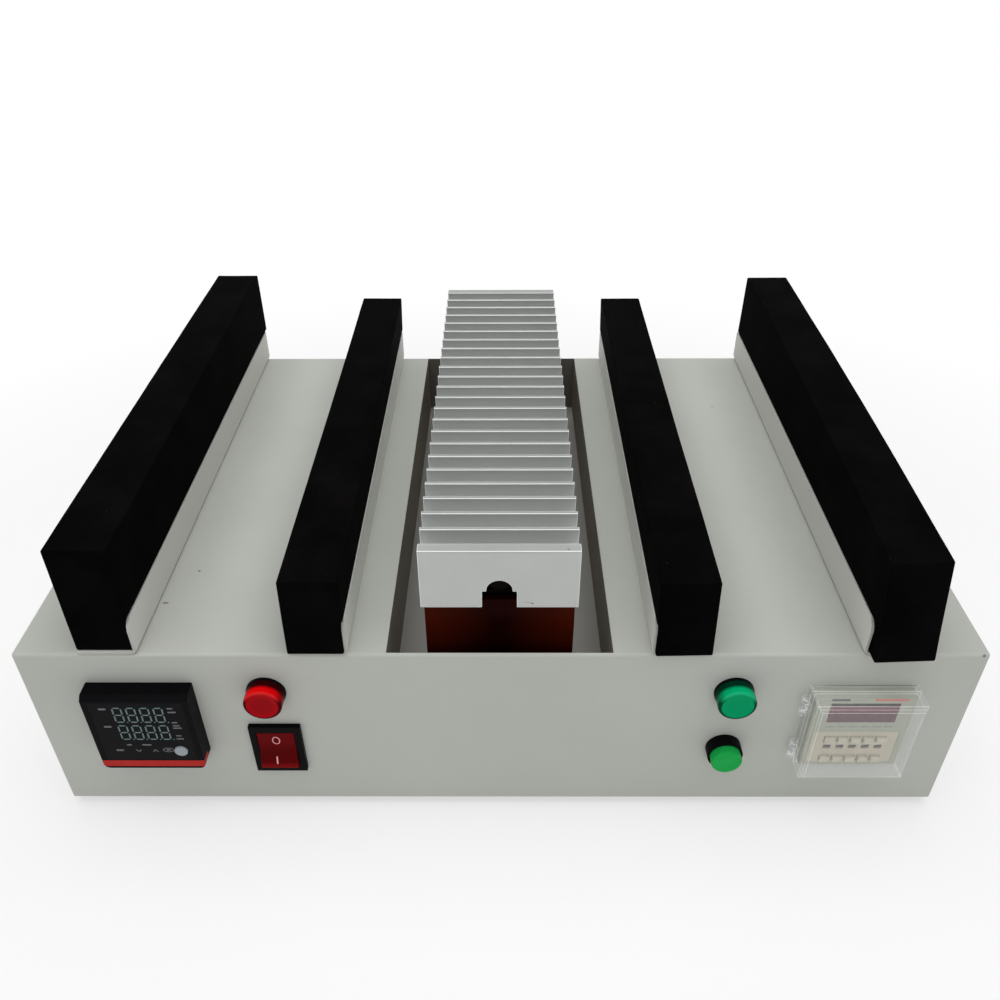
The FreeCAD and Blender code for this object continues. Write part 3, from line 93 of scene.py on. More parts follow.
Colour = tuple[float, float, float, float]
Point = tuple[float, float]
Triple = tuple[float, float, float]


class Side(Enum):
    """Which way from the middle a piece or a stroke lies."""

    LEFT = -1
    RIGHT = 1


class Way(Enum):
    """Which way a key's arrow points."""

    UP = 1
    DOWN = -1


def srgb(red: float, green: float, blue: float) -> Colour:
    """Turn screen steps into a linear colour.

    Args:
        red: the red step, from 0 to 255.
        green: the green step.
        blue: the blue step.

    Returns:
        The colour as Blender's sockets take it.
    """
    linear = []
    for share in (step / SRGB_STEPS for step in (red, green, blue)):
        curved = ((share + SRGB_OFFSET) / (1 + SRGB_OFFSET)) ** SRGB_POWER
        linear.append(share / SRGB_SLOPE if share <= SRGB_KNEE else curved)
    return linear[0], linear[1], linear[2], 1.0


PURE_WHITE: Colour = (1, 1, 1, 1)


# Node trees

class Tree:
    """A node tree whose nodes all come from one method."""

    def __init__(self, tree: bpy.types.NodeTree) -> None:
        """Keep the tree."""
        self.tree = tree

    def node(
        self, kind: str, settings: dict[str, Any] | None = None, sockets: dict[str | int, Any] | None = None
    ) -> bpy.types.Node:
        """Add a node.

        Args:
            kind: Blender's name for the type.
            settings: the node's own settings, which are set first.
            sockets: values or links, by a socket's identifier, name or number.

        Returns:
            The new node.
        """
        made = self.tree.nodes.new(kind)
        for name, value in (settings or {}).items():
            setattr(made, name, value)
        for key, value in (sockets or {}).items():
            self.feed(self.find(made.inputs, key), value)
        return made

    @staticmethod
    def find(sockets: Iterable[bpy.types.NodeSocket], key: str | int) -> bpy.types.NodeSocket:
        """Find a socket.

        Args:
            sockets: a node's inputs or outputs.
            key: the socket's identifier, name or number.

        Returns:
            The first socket that fits.
        """
        listed = list(sockets)
        if isinstance(key, int):
            return listed[key]
        by_identifier = [socket for socket in listed if socket.identifier == key]
        by_name = [socket for socket in listed if socket.name == key]
        return (by_identifier + by_name)[0]

    def feed(self, socket: bpy.types.NodeSocket, value: Any) -> None:
        """Give a socket a link or a value.

        Args:
            socket: the input to feed.
            value: a wrapped socket, a plain socket, or what the socket holds.
        """
        source = value.socket if isinstance(value, Value) else value
        if isinstance(source, bpy.types.NodeSocket):
            self.tree.links.new(source, socket)
        else:
            socket.default_value = source


class Value:
    """A number over a surface, which Python's operators work on."""

    def __init__(self, graph: Tree, socket: bpy.types.NodeSocket) -> None:
        """Wrap a socket of a graph."""
        self.graph = graph
        self.socket = socket

    def math(self, operation: str, *operands: Any, clamp: bool = False) -> "Value":
        """Add a Math node.

        Args:
            operation: the node's operation.
            operands: its inputs in order.
            clamp: whether the result is kept between 0 and 1.

        Returns:
            The result.
        """
        settings = {"operation": operation, "use_clamp": clamp}
        made = self.graph.node("ShaderNodeMath", settings, dict(enumerate(operands)))
        return Value(self.graph, made.outputs[0])

    def __add__(self, other: Any) -> "Value":
        """Sum."""
        return self.math("ADD", self, other)

    def __radd__(self, other: Any) -> "Value":
        """Sum, other way round."""
        return self.math("ADD", other, self)

    def __sub__(self, other: Any) -> "Value":
        """Difference."""
        return self.math("SUBTRACT", self, other)

    def __rsub__(self, other: Any) -> "Value":
        """Difference, other way round."""
        return self.math("SUBTRACT", other, self)

    def __mul__(self, other: Any) -> "Value":
        """Product."""
        return self.math("MULTIPLY", self, other)

    def __rmul__(self, other: Any) -> "Value":
        """Product, other way round."""
        return self.math("MULTIPLY", other, self)

    def __truediv__(self, other: Any) -> "Value":
        """Quotient."""
        return self.math("DIVIDE", self, other)

    def __rtruediv__(self, other: Any) -> "Value":
        """Quotient, other way round."""
        return self.math("DIVIDE", other, self)

    def __abs__(self) -> "Value":
        """Size without sign."""
        return self.math("ABSOLUTE", self)

    def rising(self, start: float, span: float) -> "Value":
        """Go from 0 to 1.

        Args:
            start: the value at which the rise starts.
            span: how far the rise goes on.

        Returns:
            The share risen, from 0 to 1.
        """
        risen = self - start
        return risen.math("DIVIDE", risen, span, clamp=True)


class Graph(Tree):
    """The node tree of one material."""

    def __init__(self, name: str) -> None:
        """Start a material with an output and its own coordinates."""
        self.material = bpy.data.materials.new(name)
        self.material.use_nodes = True
        super().__init__(self.material.node_tree)
        self.tree.nodes.clear()
        self.output = self.node("ShaderNodeOutputMaterial")
        self.place = self.node("ShaderNodeTexCoord").outputs["Object"]

    def mapped(self, centre: Triple = (0, 0, 0), size: Triple = (1, 1, 1)) -> bpy.types.NodeSocket:
        """Measure places from a centre.

        Args:
            centre: the place that becomes zero, in metres.
            size: the length that becomes one, along each axis.

        Returns:
            The mapped place.
        """
        made = self.node("ShaderNodeMapping", {"vector_type": "TEXTURE"}, {
            "Vector": self.place, "Location": centre, "Scale": size,
        })
        return made.outputs[0]

    def noise(self, grain: float, detail: float = 2.0, stretch: Triple = (1, 1, 1)) -> Value:
        """Cloudy noise.

        Args:
            grain: the size of a cloud, in metres.
            detail: how many finer layers it has.
            stretch: how much longer the clouds are along each axis.

        Returns:
            The noise, about 0.5 in the middle.
        """
        made = self.node("ShaderNodeTexNoise", None, {
            "Vector": self.mapped(size=stretch), "Scale": 1 / grain, "Detail": detail,
        })
        return Value(self, made.outputs[0])

    def cells(self, grain: float) -> Value:
        """Round cells.

        Args:
            grain: the size of a cell, in metres.

        Returns:
            The distance from a cell's middle, in cells.
        """
        made = self.node("ShaderNodeTexVoronoi", None, {"Vector": self.place, "Scale": 1 / grain})
        return Value(self, made.outputs["Distance"])

    def along(self, axis: str) -> Value:
        """One coordinate, in metres.

        Args:
            axis: X, Y or Z.

        Returns:
            The coordinate.
        """
        made = self.node("ShaderNodeSeparateXYZ", None, {"Vector": self.place})
        return Value(self, made.outputs[axis])

    def facing(self, axis: str) -> Value:
        """How far the surface faces along an axis.

        Args:
            axis: X, Y or Z.

        Returns:
            From -1 to 1.
        """
        normal = self.node("ShaderNodeNewGeometry").outputs["Normal"]
        made = self.node("ShaderNodeSeparateXYZ", None, {"Vector": normal})
        return Value(self, made.outputs[axis])

    def away(self, centre: Triple, size: Triple) -> Value:
        """Distance from a centre.

        Args:
            centre: the place to measure from, in metres.
            size: the length that counts as one, along each axis.

        Returns:
            The distance.
        """
        made = self.node("ShaderNodeVectorMath", {"operation": "LENGTH"}, {0: self.mapped(centre, size)})
        return Value(self, made.outputs["Value"])

    def blend(self, share: Any, first: Any, second: Any) -> Value:
        """Mix two colours.

        Args:
            share: how much of the second there is.
            first: a colour, or a link to one.
            second: the other colour.

        Returns:
            The mixed colour.
        """
        made = self.node("ShaderNodeMix", {"data_type": "RGBA"}, {
            "Factor_Float": share, "A_Color": first, "B_Color": second,
        })
        return Value(self, self.find(made.outputs, "Result_Color"))

    def bump(self, height: Value, depth: float, strength: float = 1.0) -> Value:
        """Raise and sink the surface.

        Args:
            height: the height, from 0 to 1.
            depth: the full height, in metres.
            strength: how much of it shows.

        Returns:
            The normal.
        """
        made = self.node("ShaderNodeBump", None, {"Height": height, "Distance": depth, "Strength": strength})
        return Value(self, made.outputs[0])

    def finish(self, sockets: dict[str, Any]) -> bpy.types.Material:
        """End the material in its shader.

        Args:
            sockets: the shader's values and links.

        Returns:
            The material.
        """
        shader = self.node("ShaderNodeBsdfPrincipled", None, sockets)
        self.feed(self.output.inputs["Surface"], shader.outputs[0])
        return self.material


# Finishes

@dataclass(frozen=True)
class Finish:
    """A finish of the record, by the name of its slot."""

    slot: str

    def build(self) -> bpy.types.Material:
        """Make the material."""
        raise NotImplementedError


@functools.cache
def material_of(finish: Finish) -> bpy.types.Material:
    """Make a finish's material once.

    Args:
        finish: the finish.

    Returns:
        Its material.
    """
    return finish.build()


@dataclass(frozen=True)
class Scuff:
    """A dark patch on a surface, a worn mark in some uses and painted shade in others: its middle, how far it
    reaches along each axis, and how dark it is.
    """

    centre: Triple
    size: Triple
    strength: float = 0.75


def scuffed(graph: Graph, tone: Value, scuffs: Sequence[Scuff], colour: Colour, core: float) -> Value:
    """Lay worn marks and patches of painted shade over a tone.

    Args:
        graph: the material's graph.
        tone: the tone so far.
        scuffs: the worn marks and the patches of painted shade.
        colour: their colour.
        core: the share of a patch's reach, from its middle, over which it has its full strength.

    Returns:
        The tone with the patches on it.
    """
    # Worn marks and patches of painted shade darken the tone the same way.
    for scuff_or_shade in scuffs:
        mark = 1 - graph.away(scuff_or_shade.centre, scuff_or_shade.size).rising(core, 1 - core)
        tone = graph.blend(mark * scuff_or_shade.strength, tone, colour)
    return tone


@dataclass(frozen=True)
class PowderCoat(Finish):
    """Satin powder coat with an orange peel skin, faint clouds, a few worn marks and patches of painted
    shade.

    Its floor, the faces that lie flat, may take painted light, and its ends, those that face forward or back,
    painted shade.
    """

    colour: Colour
    thin: Colour
    scuffs: tuple[Scuff, ...] = ()
    scuff_colour: Colour = srgb(92, 86, 78)
    scuff_core: float = 0.6
    cloud_size: float = 60 * MM
    fleck_size: float = 0.5 * MM
    peel_grain: float = 0.9 * MM
    peel_depth: float = 0.02 * MM
    rough: float = 0.5
    rough_spread: float = 0.16
    shine: float = 0.14
    floor: Colour | None = None
    ends: Colour | None = None
    name: str = ""

    def build(self) -> bpy.types.Material:
        """Make the material."""
        graph = Graph(self.name or self.slot)
        cloud = graph.noise(self.cloud_size, detail=3)
        peel = graph.noise(self.peel_grain, detail=2)
        fleck = graph.noise(self.fleck_size, detail=1).rising(start=0.66, span=0.06)
        tone = graph.blend(cloud.rising(start=0.3, span=0.5) * 0.5 + fleck * 0.22, self.colour, self.thin)
        # Painted light on faces that look up, and painted shade on faces that look forward or back.
        if self.floor:
            tone = graph.blend(graph.facing("Z").rising(start=0.5, span=0.4), tone, self.floor)
        if self.ends:
            tone = graph.blend(abs(graph.facing("Y")).rising(start=0.15, span=0.4), tone, self.ends)
        tone = scuffed(graph, tone, self.scuffs, self.scuff_colour, self.scuff_core)
        return graph.finish({
            "Base Color": tone,
            "Roughness": self.rough + peel * self.rough_spread,
            "Normal": graph.bump(peel, self.peel_depth, strength=0.6),
            "Specular IOR Level": self.shine,
        })


@dataclass(frozen=True)
class PlatedSteel(Finish):
    """Zinc plated steel, faintly clouded."""

    colour: Colour
    dull: Colour
    name: str = ""
    cloud_size: float = 3 * MM
    turned_size: float = 0.25 * MM
    turned_depth: float = 0.01 * MM
    rough: float = 0.26
    rough_spread: float = 0.2
    metal: float = 0.95

    def build(self) -> bpy.types.Material:
        """Make the material."""
        graph = Graph(self.name or self.slot)
        cloud = graph.noise(self.cloud_size, detail=4)
        turned = graph.noise(self.turned_size, detail=1)
        return graph.finish({
            "Base Color": graph.blend(cloud.rising(start=0.35, span=0.35), self.colour, self.dull),
            "Metallic": self.metal,
            "Roughness": self.rough + cloud * self.rough_spread,
            "Normal": graph.bump(turned, self.turned_depth, strength=0.5),
        })


@dataclass(frozen=True)
class FinTones:
    """Painted light and shade on a row of fins: painted shade near their top edges, painted light deep
    between them.
    """

    front: float
    top: float
    depth: float
    tips: Colour
    roots: Colour
    fade: float = 0.5 * MM
    share: float = 0.85


@dataclass(frozen=True)
class MilledAluminium(Finish):
    """Satin aluminium with fine lines across, a little dull in patches; it may carry worn marks, and painted
    light and shade.
    """

    colour: Colour
    dull: Colour
    metal: float = 0.16
    line_length: float = 40.0
    line_width: float = 0.35 * MM
    line_depth: float = 0.012 * MM
    cloud_size: float = 22 * MM
    pit_size: float = 0.6 * MM
    rough: float = 0.4
    rough_spread: float = 0.14
    shine: float = 0.2
    scuffs: tuple[Scuff, ...] = ()
    scuff_colour: Colour = srgb(104, 104, 100)
    scuff_core: float = 0.4
    fins: FinTones | None = None
    name: str = ""

    def build(self) -> bpy.types.Material:
        """Make the material."""
        graph = Graph(self.name or self.slot)
        lines = graph.noise(self.line_width, detail=3, stretch=(self.line_length, 1, 1))
        cloud = graph.noise(self.cloud_size, detail=3)
        pits = graph.noise(self.pit_size, detail=1).rising(start=0.7, span=0.05)
        tone = graph.blend(cloud.rising(start=0.3, span=0.5) * 0.5 + lines * 0.3, self.colour, self.dull)
        tone = graph.blend(pits * 0.3, tone, self.dull)
        # Painted shade near the fins' top edges and painted light deep between them.
        if self.fins:
            fins = self.fins
            deep = (fins.top - graph.along("Z")).rising(0, fins.depth)
            among = graph.along("Y").rising(fins.front, fins.fade)
            tone = graph.blend(among * fins.share, tone, graph.blend(deep, fins.tips, fins.roots))
        tone = scuffed(graph, tone, self.scuffs, self.scuff_colour, self.scuff_core)
        return graph.finish({
            "Base Color": tone,
            "Metallic": self.metal,
            "Roughness": self.rough + lines * self.rough_spread,
            "Normal": graph.bump(lines, self.line_depth, strength=0.5),
            "Specular IOR Level": self.shine,
        })


@dataclass(frozen=True)
class BrownResin(Finish):
    """Glossy dark brown resin, with painted shade along the middle and a faint grain of its layers."""

    colour: Colour
    deep: Colour
    half_width: float = 33 * MM
    layer_size: float = 1.4 * MM
    layer_length: float = 30.0
    layer_depth: float = 0.02 * MM
    cloud_size: float = 9 * MM
    rough: float = 0.2
    rough_spread: float = 0.1
    shine: float = 0.012

    def build(self) -> bpy.types.Material:
        """Make the material."""
        graph = Graph(self.slot)
        # Painted shade: darker towards the middle, the resin's own colour towards the sides.
        out = (abs(graph.along("X")) / self.half_width).rising(start=0.1, span=0.75)
        layers = graph.noise(self.layer_size, detail=3, stretch=(self.layer_length, self.layer_length, 1))
        cloud = graph.noise(self.cloud_size, detail=3)
        share = (out * 0.85 + cloud * 0.22 + layers * 0.14 - 0.14).rising(start=0, span=1)
        return graph.finish({
            "Base Color": graph.blend(share, self.deep, self.colour),
            "Roughness": self.rough + cloud * self.rough_spread,
            "Normal": graph.bump(layers, self.layer_depth, strength=0.3),
            "Specular IOR Level": self.shine,
        })


@dataclass(frozen=True)
class BlackFoam(Finish):
    """Closed-cell foam: matt, finely pored, mottled, with a few pale specks."""

    colour: Colour
    mottle: Colour
    speck: Colour
    pore_size: float = 0.8 * MM
    pore_depth: float = 0.12 * MM
    fine_size: float = 0.5 * MM
    cloud_size: float = 26 * MM
    speck_size: float = 1.3 * MM
    rough: float = 0.86
    rough_spread: float = 0.1
    shine: float = 0.01

    def build(self) -> bpy.types.Material:
        """Make the material."""
        graph = Graph(self.slot)
        pores = graph.cells(self.pore_size)
        fine = graph.noise(self.fine_size, detail=3)
        cloud = graph.noise(self.cloud_size, detail=5)
        mottled = cloud.rising(start=0.38, span=0.35) * 0.8 + fine.rising(start=0.5, span=0.4) * 0.3
        tone = graph.blend(mottled, self.colour, self.mottle)
        dust = graph.noise(self.speck_size, detail=0).rising(start=0.87, span=0.02)
        return graph.finish({
            "Base Color": graph.blend(dust * 0.1, tone, self.speck),
            "Roughness": self.rough + fine * self.rough_spread,
            "Normal": graph.bump(pores * 0.6 + fine * 0.4, self.pore_depth, strength=0.5),
            "Specular IOR Level": self.shine,
        })


@dataclass(frozen=True)
class Moulded(Finish):
    """Moulded plastic or rubber with a fine spark-eroded grain."""

    colour: Colour
    light: Colour
    rough: float = 0.45
    rough_dip: float = 0.04
    rough_spread: float = 0.1
    grain: float = 0.35 * MM
    depth: float = 0.015 * MM
    cloud_size: float = 7 * MM
    shine: float = 0.14
    name: str = ""

    def build(self) -> bpy.types.Material:
        """Make the material."""
        graph = Graph(self.name or self.slot)
        grain = graph.noise(self.grain, detail=2)
        cloud = graph.noise(self.cloud_size, detail=4)
        pale = cloud.rising(start=0.35, span=0.4) * 0.7 + grain * 0.2
        return graph.finish({
            "Base Color": graph.blend(pale, self.colour, self.light),
            "Roughness": self.rough - self.rough_dip + cloud * self.rough_spread,
            "Normal": graph.bump(grain, self.depth, strength=0.5),
            "Specular IOR Level": self.shine,
        })


@dataclass(frozen=True)
class LensTints:
    """The colours of one lens: its face; the ring round that and its wall, painted light; its depths, painted
    shade; and its rim's painted glint.
    """

    face: Colour
    ring: Colour
    wall: Colour
    deep: Colour
    glint: Colour


@dataclass(frozen=True)
class TintedLens(Finish):
    """Tinted lens plastic: painted shade beside the panel and round its lower rim, painted light along its
    wall and round its face, a painted glint on its upper rim.
    """

    tints: LensTints
    seat: Triple
    radius: float
    length: float
    beyond: float = 1e6
    swirl_size: float = 3 * MM
    grain: float = 0.4 * MM
    depth: float = 0.008 * MM
    rough: float = 0.16
    rough_spread: float = 0.1
    shine: float = 0.02

    def build(self) -> bpy.types.Material:
        """Make the material."""
        graph = Graph(self.slot)
        swirl = graph.noise(self.swirl_size, detail=3)
        out = (self.seat[1] - graph.along("Y")) / self.length
        across = graph.away(self.seat, (self.radius, self.beyond, self.radius))
        ahead = abs(graph.facing("Y"))
        sideways = abs(graph.facing("X")).rising(start=0.7, span=0.3)
        upper = ((graph.along("Z") - self.seat[2]) / self.radius).rising(start=0.25, span=0.4)
        # Painted light along the wall and in the ring round the face, painted shade beside the panel.
        lit = out.rising(start=0.34, span=0.24) * (1 - sideways * 0.6)
        wall = graph.blend(lit, self.tints.deep, self.tints.wall)
        outer = across.rising(start=0.5, span=0.3) * 0.85 + swirl * 0.15
        face = graph.blend(outer, self.tints.face, self.tints.ring)
        tone = graph.blend(ahead.rising(start=0.6, span=0.3), wall, face)
        # Painted shade round the lower rim of the face, and a painted glint round its upper rim.
        front = out.rising(start=0.84, span=0.02)
        shaded_border = across.rising(start=0.79, span=0.05) * front * (1 - upper)
        rim = across.rising(start=0.86, span=0.03) * front * upper
        tone = graph.blend(shaded_border * 0.92, tone, self.tints.deep)
        return graph.finish({
            "Base Color": graph.blend(rim * 0.3, tone, self.tints.glint),
            "Roughness": self.rough + swirl * self.rough_spread,
            "Normal": graph.bump(graph.noise(self.grain, detail=2), self.depth, strength=0.4),
            "Specular IOR Level": self.shine,
        })


@dataclass(frozen=True)
class RockerPlastic(Finish):
    """Dark red see-through plastic: a painted reflection above, deep in the middle, and painted light near
    its lower end.
    """

    hazy: Colour
    deep: Colour
    foot: Colour
    middle: float
    half_height: float
    swirl_size: float = 4 * MM
    grain: float = 0.5 * MM
    depth: float = 0.006 * MM
    rough: float = 0.14
    rough_spread: float = 0.08
    shine: float = 0.02

    def build(self) -> bpy.types.Material:
        """Make the material."""
        graph = Graph(self.slot)
        height = (graph.along("Z") - self.middle) / self.half_height
        swirl = graph.noise(self.swirl_size, detail=3)
        # Painted reflection over the upper part, and painted light near the lower end.
        upper = graph.blend(height.rising(start=-0.1, span=0.6) * 0.85 + swirl * 0.15, self.deep, self.hazy)
        return graph.finish({
            "Base Color": graph.blend(1 - height.rising(start=-0.74, span=0.16), upper, self.foot),
            "Roughness": self.rough + swirl * self.rough_spread,
            "Normal": graph.bump(graph.noise(self.grain, detail=2), self.depth, strength=0.4),
            "Specular IOR Level": self.shine,
        })


@dataclass(frozen=True)
class DisplayWindow(Finish):
    """Tinted window: a painted shadow under its upper edge, red below that, and a painted reflection lower
    down.
    """

    red: Colour
    hazy: Colour
    shade: Colour
    top: float
    height: float
    smear_size: float = 5 * MM
    smear_length: float = 4.0
    depth: float = 0.003 * MM
    rough: float = 0.12
    rough_spread: float = 0.1
    shine: float = 0.08

    def build(self) -> bpy.types.Material:
        """Make the material."""
        graph = Graph(self.slot)
        down = (self.top - graph.along("Z")) / self.height
        smear = graph.noise(self.smear_size, detail=3, stretch=(self.smear_length, 1, 1))
        # Painted reflection lower down, and a painted shadow under the upper edge.
        tone = graph.blend(down.rising(start=0.3, span=0.4) * 0.85 + smear * 0.2, self.red, self.hazy)
        return graph.finish({
            "Base Color": graph.blend(1 - down.rising(start=0.08, span=0.08), tone, self.shade),
            "Roughness": self.rough + smear * self.rough_spread,
            "Normal": graph.bump(smear, self.depth, strength=0.4),
            "Specular IOR Level": self.shine,
        })


@dataclass(frozen=True)
class ClearPlastic(Finish):
    """Clear plastic: a faint haze with fine dust and rubbed streaks; edges may carry a painted glow and a
    painted highlight, most of all upwards.
    """

    name: str
    colour: Colour
    cover: float
    glow: float = 0.0
    lit: float = 0.0
    streak_size: float = 1.2 * MM
    streak_length: float = 7.0
    streak_depth: float = 0.004 * MM
    dust_size: float = 0.4 * MM
    rough: float = 0.06
    rough_spread: float = 0.08
    shine: float = 0.4

    def build(self) -> bpy.types.Material:
        """Make the material."""
        graph = Graph(self.name)
        streak = graph.noise(self.streak_size, detail=3, stretch=(1, 1, self.streak_length))
        dust = graph.noise(self.dust_size, detail=1).rising(start=0.68, span=0.05)
        # Painted highlight: more opaque where the surface looks up; the emission is a painted glow.
        upper = graph.facing("Z").rising(start=0.3, span=0.5)
        return graph.finish({
            "Base Color": graph.blend(streak, self.colour, PURE_WHITE),
            "Roughness": self.rough + streak * self.rough_spread,
            "Alpha": self.cover + streak * 0.05 + dust * 0.06 + upper * self.lit,
            "Normal": graph.bump(streak, self.streak_depth, strength=0.3),
            "Specular IOR Level": self.shine,
            "Emission Color": PURE_WHITE,
            "Emission Strength": self.glow,
        })


@dataclass(frozen=True)
class Ink(Finish):
    """A printed or unlit mark, a little uneven."""

    name: str
    colour: Colour
    worn: Colour
    wear_size: float = 0.6 * MM
    wear_depth: float = 0.006 * MM
    rough: float = 0.5
    rough_spread: float = 0.2
    shine: float = 0.04

    def build(self) -> bpy.types.Material:
        """Make the material."""
        graph = Graph(self.name)
        wear = graph.noise(self.wear_size, detail=3)
        return graph.finish({
            "Base Color": graph.blend(wear.rising(start=0.4, span=0.3) * 0.6, self.colour, self.worn),
            "Roughness": self.rough + wear * self.rough_spread,
            "Normal": graph.bump(wear, self.wear_depth, strength=0.4),
            "Specular IOR Level": self.shine,
        })


CASE_PAINT = PowderCoat(
    "case_paint", srgb(182, 184, 178), srgb(173, 175, 168),
    scuffs=(
        Scuff((-156.5 * MM, -102 * MM, 106 * MM), (1.8 * MM, 0.8 * MM, 1 * MM)),
        Scuff((-146.9 * MM, -79 * MM, 106 * MM), (0.9 * MM, 0.8 * MM, 1 * MM)),
        Scuff((132.4 * MM, 79.8 * MM, 106 * MM), (0.8 * MM, 0.9 * MM, 1 * MM), 0.5),
        Scuff((212 * MM, -135 * MM, 105 * MM), (1.1 * MM, 1 * MM, 0.9 * MM)),
        # Painted shade on the rear wall's inner face, where the trough ends.
        Scuff((0, 145.3 * MM, 60 * MM), (160 * MM, 0.25 * MM, 90 * MM), 0.84),
    ),
)
# A lighter copy of the case paint: painted light on the rails, with painted shade on the faces that look
# forward or back.
RAIL_PAINT_LIT = PowderCoat(
    "case_paint", srgb(215, 216, 210), srgb(206, 208, 201), ends=srgb(172, 174, 168), name="rail_paint"
)
# A darker copy of the case paint: painted shade in the trough, with painted light on its floor.
TROUGH_PAINT_SHADED = PowderCoat(
    "case_paint", srgb(150, 143, 132), srgb(138, 130, 119),
    floor=srgb(170, 169, 163), name="trough_paint",
)
STEEL = PlatedSteel("bare_steel", srgb(196, 197, 198), srgb(168, 168, 166))
# Near-black copies of the steel and the aluminium for the rod and the clamp bar in the groove: painted shade.
GROOVE_SHADE_STEEL = PlatedSteel("bare_steel", srgb(9, 2, 2), srgb(6, 1, 1), "heat_stained_steel")
GROOVE_SHADE_BAR = PlatedSteel("milled_aluminium", srgb(12, 3, 3), srgb(8, 2, 2), "heat_stained_bar")
ALUMINIUM = MilledAluminium(
    "milled_aluminium", srgb(191, 193, 191), srgb(176, 178, 176),
    scuffs=(
        Scuff((14.1 * MM, -128.5 * MM, 129.8 * MM), (0.9 * MM, 1 * MM, 0.6 * MM), 0.8),
        Scuff((12 * MM, -128.5 * MM, 130.4 * MM), (3 * MM, 1 * MM, 0.7 * MM), 0.25),
        Scuff((28.6 * MM, -127 * MM, 158.5 * MM), (0.8 * MM, 0.8 * MM, 1 * MM), 0.7),
        # A broad patch of painted shade on the top of the front plate.
        Scuff((0, -126 * MM, 158.5 * MM), (80 * MM, 6 * MM, 1.5 * MM), 0.42),
    ),
    # Painted shade near the fins' top edges and painted light deep between them.
    fins=FinTones(
        front=-122.5 * MM, top=158.6 * MM, depth=9.5 * MM, tips=srgb(140, 143, 140), roots=srgb(221, 223, 221)
    ),
)
# A lighter copy of the aluminium for the block's broken edges: a painted highlight.
HIGHLIGHT_EDGE = MilledAluminium(
    "milled_aluminium", srgb(238, 240, 239), srgb(222, 224, 223), metal=0.1, name="bright_edges"
)
# The deep tone is painted shade along the resin's middle.
RESIN = BrownResin("brown_resin", srgb(62, 16, 4), srgb(22, 3, 2))
FOAM = BlackFoam("black_foam", srgb(4, 4, 4), srgb(13, 11, 11), srgb(112, 106, 100))
RUBBER = Moulded("black_rubber", srgb(26, 26, 26), srgb(38, 38, 37), rough=0.8, depth=0.04 * MM)
BLACK = Moulded("black_plastic", srgb(6, 6, 8), srgb(11, 11, 13), rough=0.42, shine=0.03)
DARK_FACE = Moulded("dark_face", srgb(16, 16, 18), srgb(20, 20, 22), rough=0.3, depth=0.004 * MM, shine=0.03)
RED_TRIM = Moulded("red_trim", srgb(168, 36, 31), srgb(178, 45, 38), rough=0.36, shine=0.05)
SILVER = Moulded("silver_key", srgb(138, 146, 150), srgb(150, 157, 162), rough=0.34, shine=0.3)
# Each lens's ring, wall and glint are painted light, its deep tone painted shade.
RED_TINTS = LensTints(
    face=srgb(140, 10, 18), ring=srgb(168, 6, 17), wall=srgb(214, 4, 9), deep=srgb(44, 0, 3),
    glint=srgb(206, 62, 62),
)
GREEN_TINTS = LensTints(
    face=srgb(1, 144, 92), ring=srgb(0, 150, 95), wall=srgb(0, 166, 106), deep=srgb(0, 46, 31),
    glint=srgb(52, 184, 136),
)
GREEN_CAP = Moulded(
    "green_cap", srgb(18, 154, 67), srgb(28, 166, 79), rough=0.28, depth=0.006 * MM, shine=0.05
)
TIMER_GREY = Moulded("timer_grey", srgb(160, 164, 148), srgb(170, 173, 158), rough=0.5)
CREAM = Moulded("cream", srgb(186, 179, 158), srgb(194, 187, 167), rough=0.5)
# A lighter copy of the cream for the keys: painted light.
KEY_CREAM_LIT = Moulded("cream", srgb(190, 186, 165), srgb(198, 194, 174), rough=0.42, name="timer_keys")
WHEEL = Moulded("wheel_plastic", srgb(112, 106, 124), srgb(128, 122, 138), rough=0.5)
WHITE = Moulded("white_plastic", srgb(226, 226, 222), srgb(234, 234, 230), rough=0.5)
CLEAR = ClearPlastic("clear_plastic", "clear_plastic", srgb(214, 218, 220), cover=0.07)
# The cover's broken edges: a painted highlight, whiter, with a painted glow, more so where they look up.
CLEAR_HIGHLIGHT = ClearPlastic(
    "clear_plastic", "clear_plastic_edge", srgb(242, 245, 245), cover=0.68, glow=0.5, lit=0.28
)
DIGIT_INK = Ink("dark_face", "unlit_digits", srgb(112, 132, 132), srgb(88, 106, 108))
LABEL_INK = Ink("dark_face", "panel_labels", srgb(112, 112, 116), srgb(86, 86, 92))
ROCKER_INK = Ink("red_rocker", "rocker_marks", srgb(224, 160, 164), srgb(206, 138, 144))
DARK_INK = Ink("timer_grey", "timer_dark_print", srgb(70, 72, 66), srgb(92, 94, 86))
PALE_INK = Ink("timer_grey", "timer_pale_print", srgb(136, 142, 128), srgb(148, 152, 140))
RED_INK = Ink("timer_grey", "timer_red_print", srgb(206, 112, 98), srgb(198, 132, 118))
NUMERAL_INK = Ink("wheel_plastic", "wheel_numerals", srgb(226, 226, 228), srgb(206, 206, 210))


# Meshes

def clamped(share: float) -> float:
    """Keep a share between 0 and 1."""
    return min(1.0, max(0.0, share))


def middle_of(node: str) -> Triple:
    """Find the middle of a node's box.

    Args:
        node: the node.

    Returns:
        The middle, in metres.
    """
    low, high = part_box(node)
    return (low.x + high.x) / 2, (low.y + high.y) / 2, (low.z + high.z) / 2


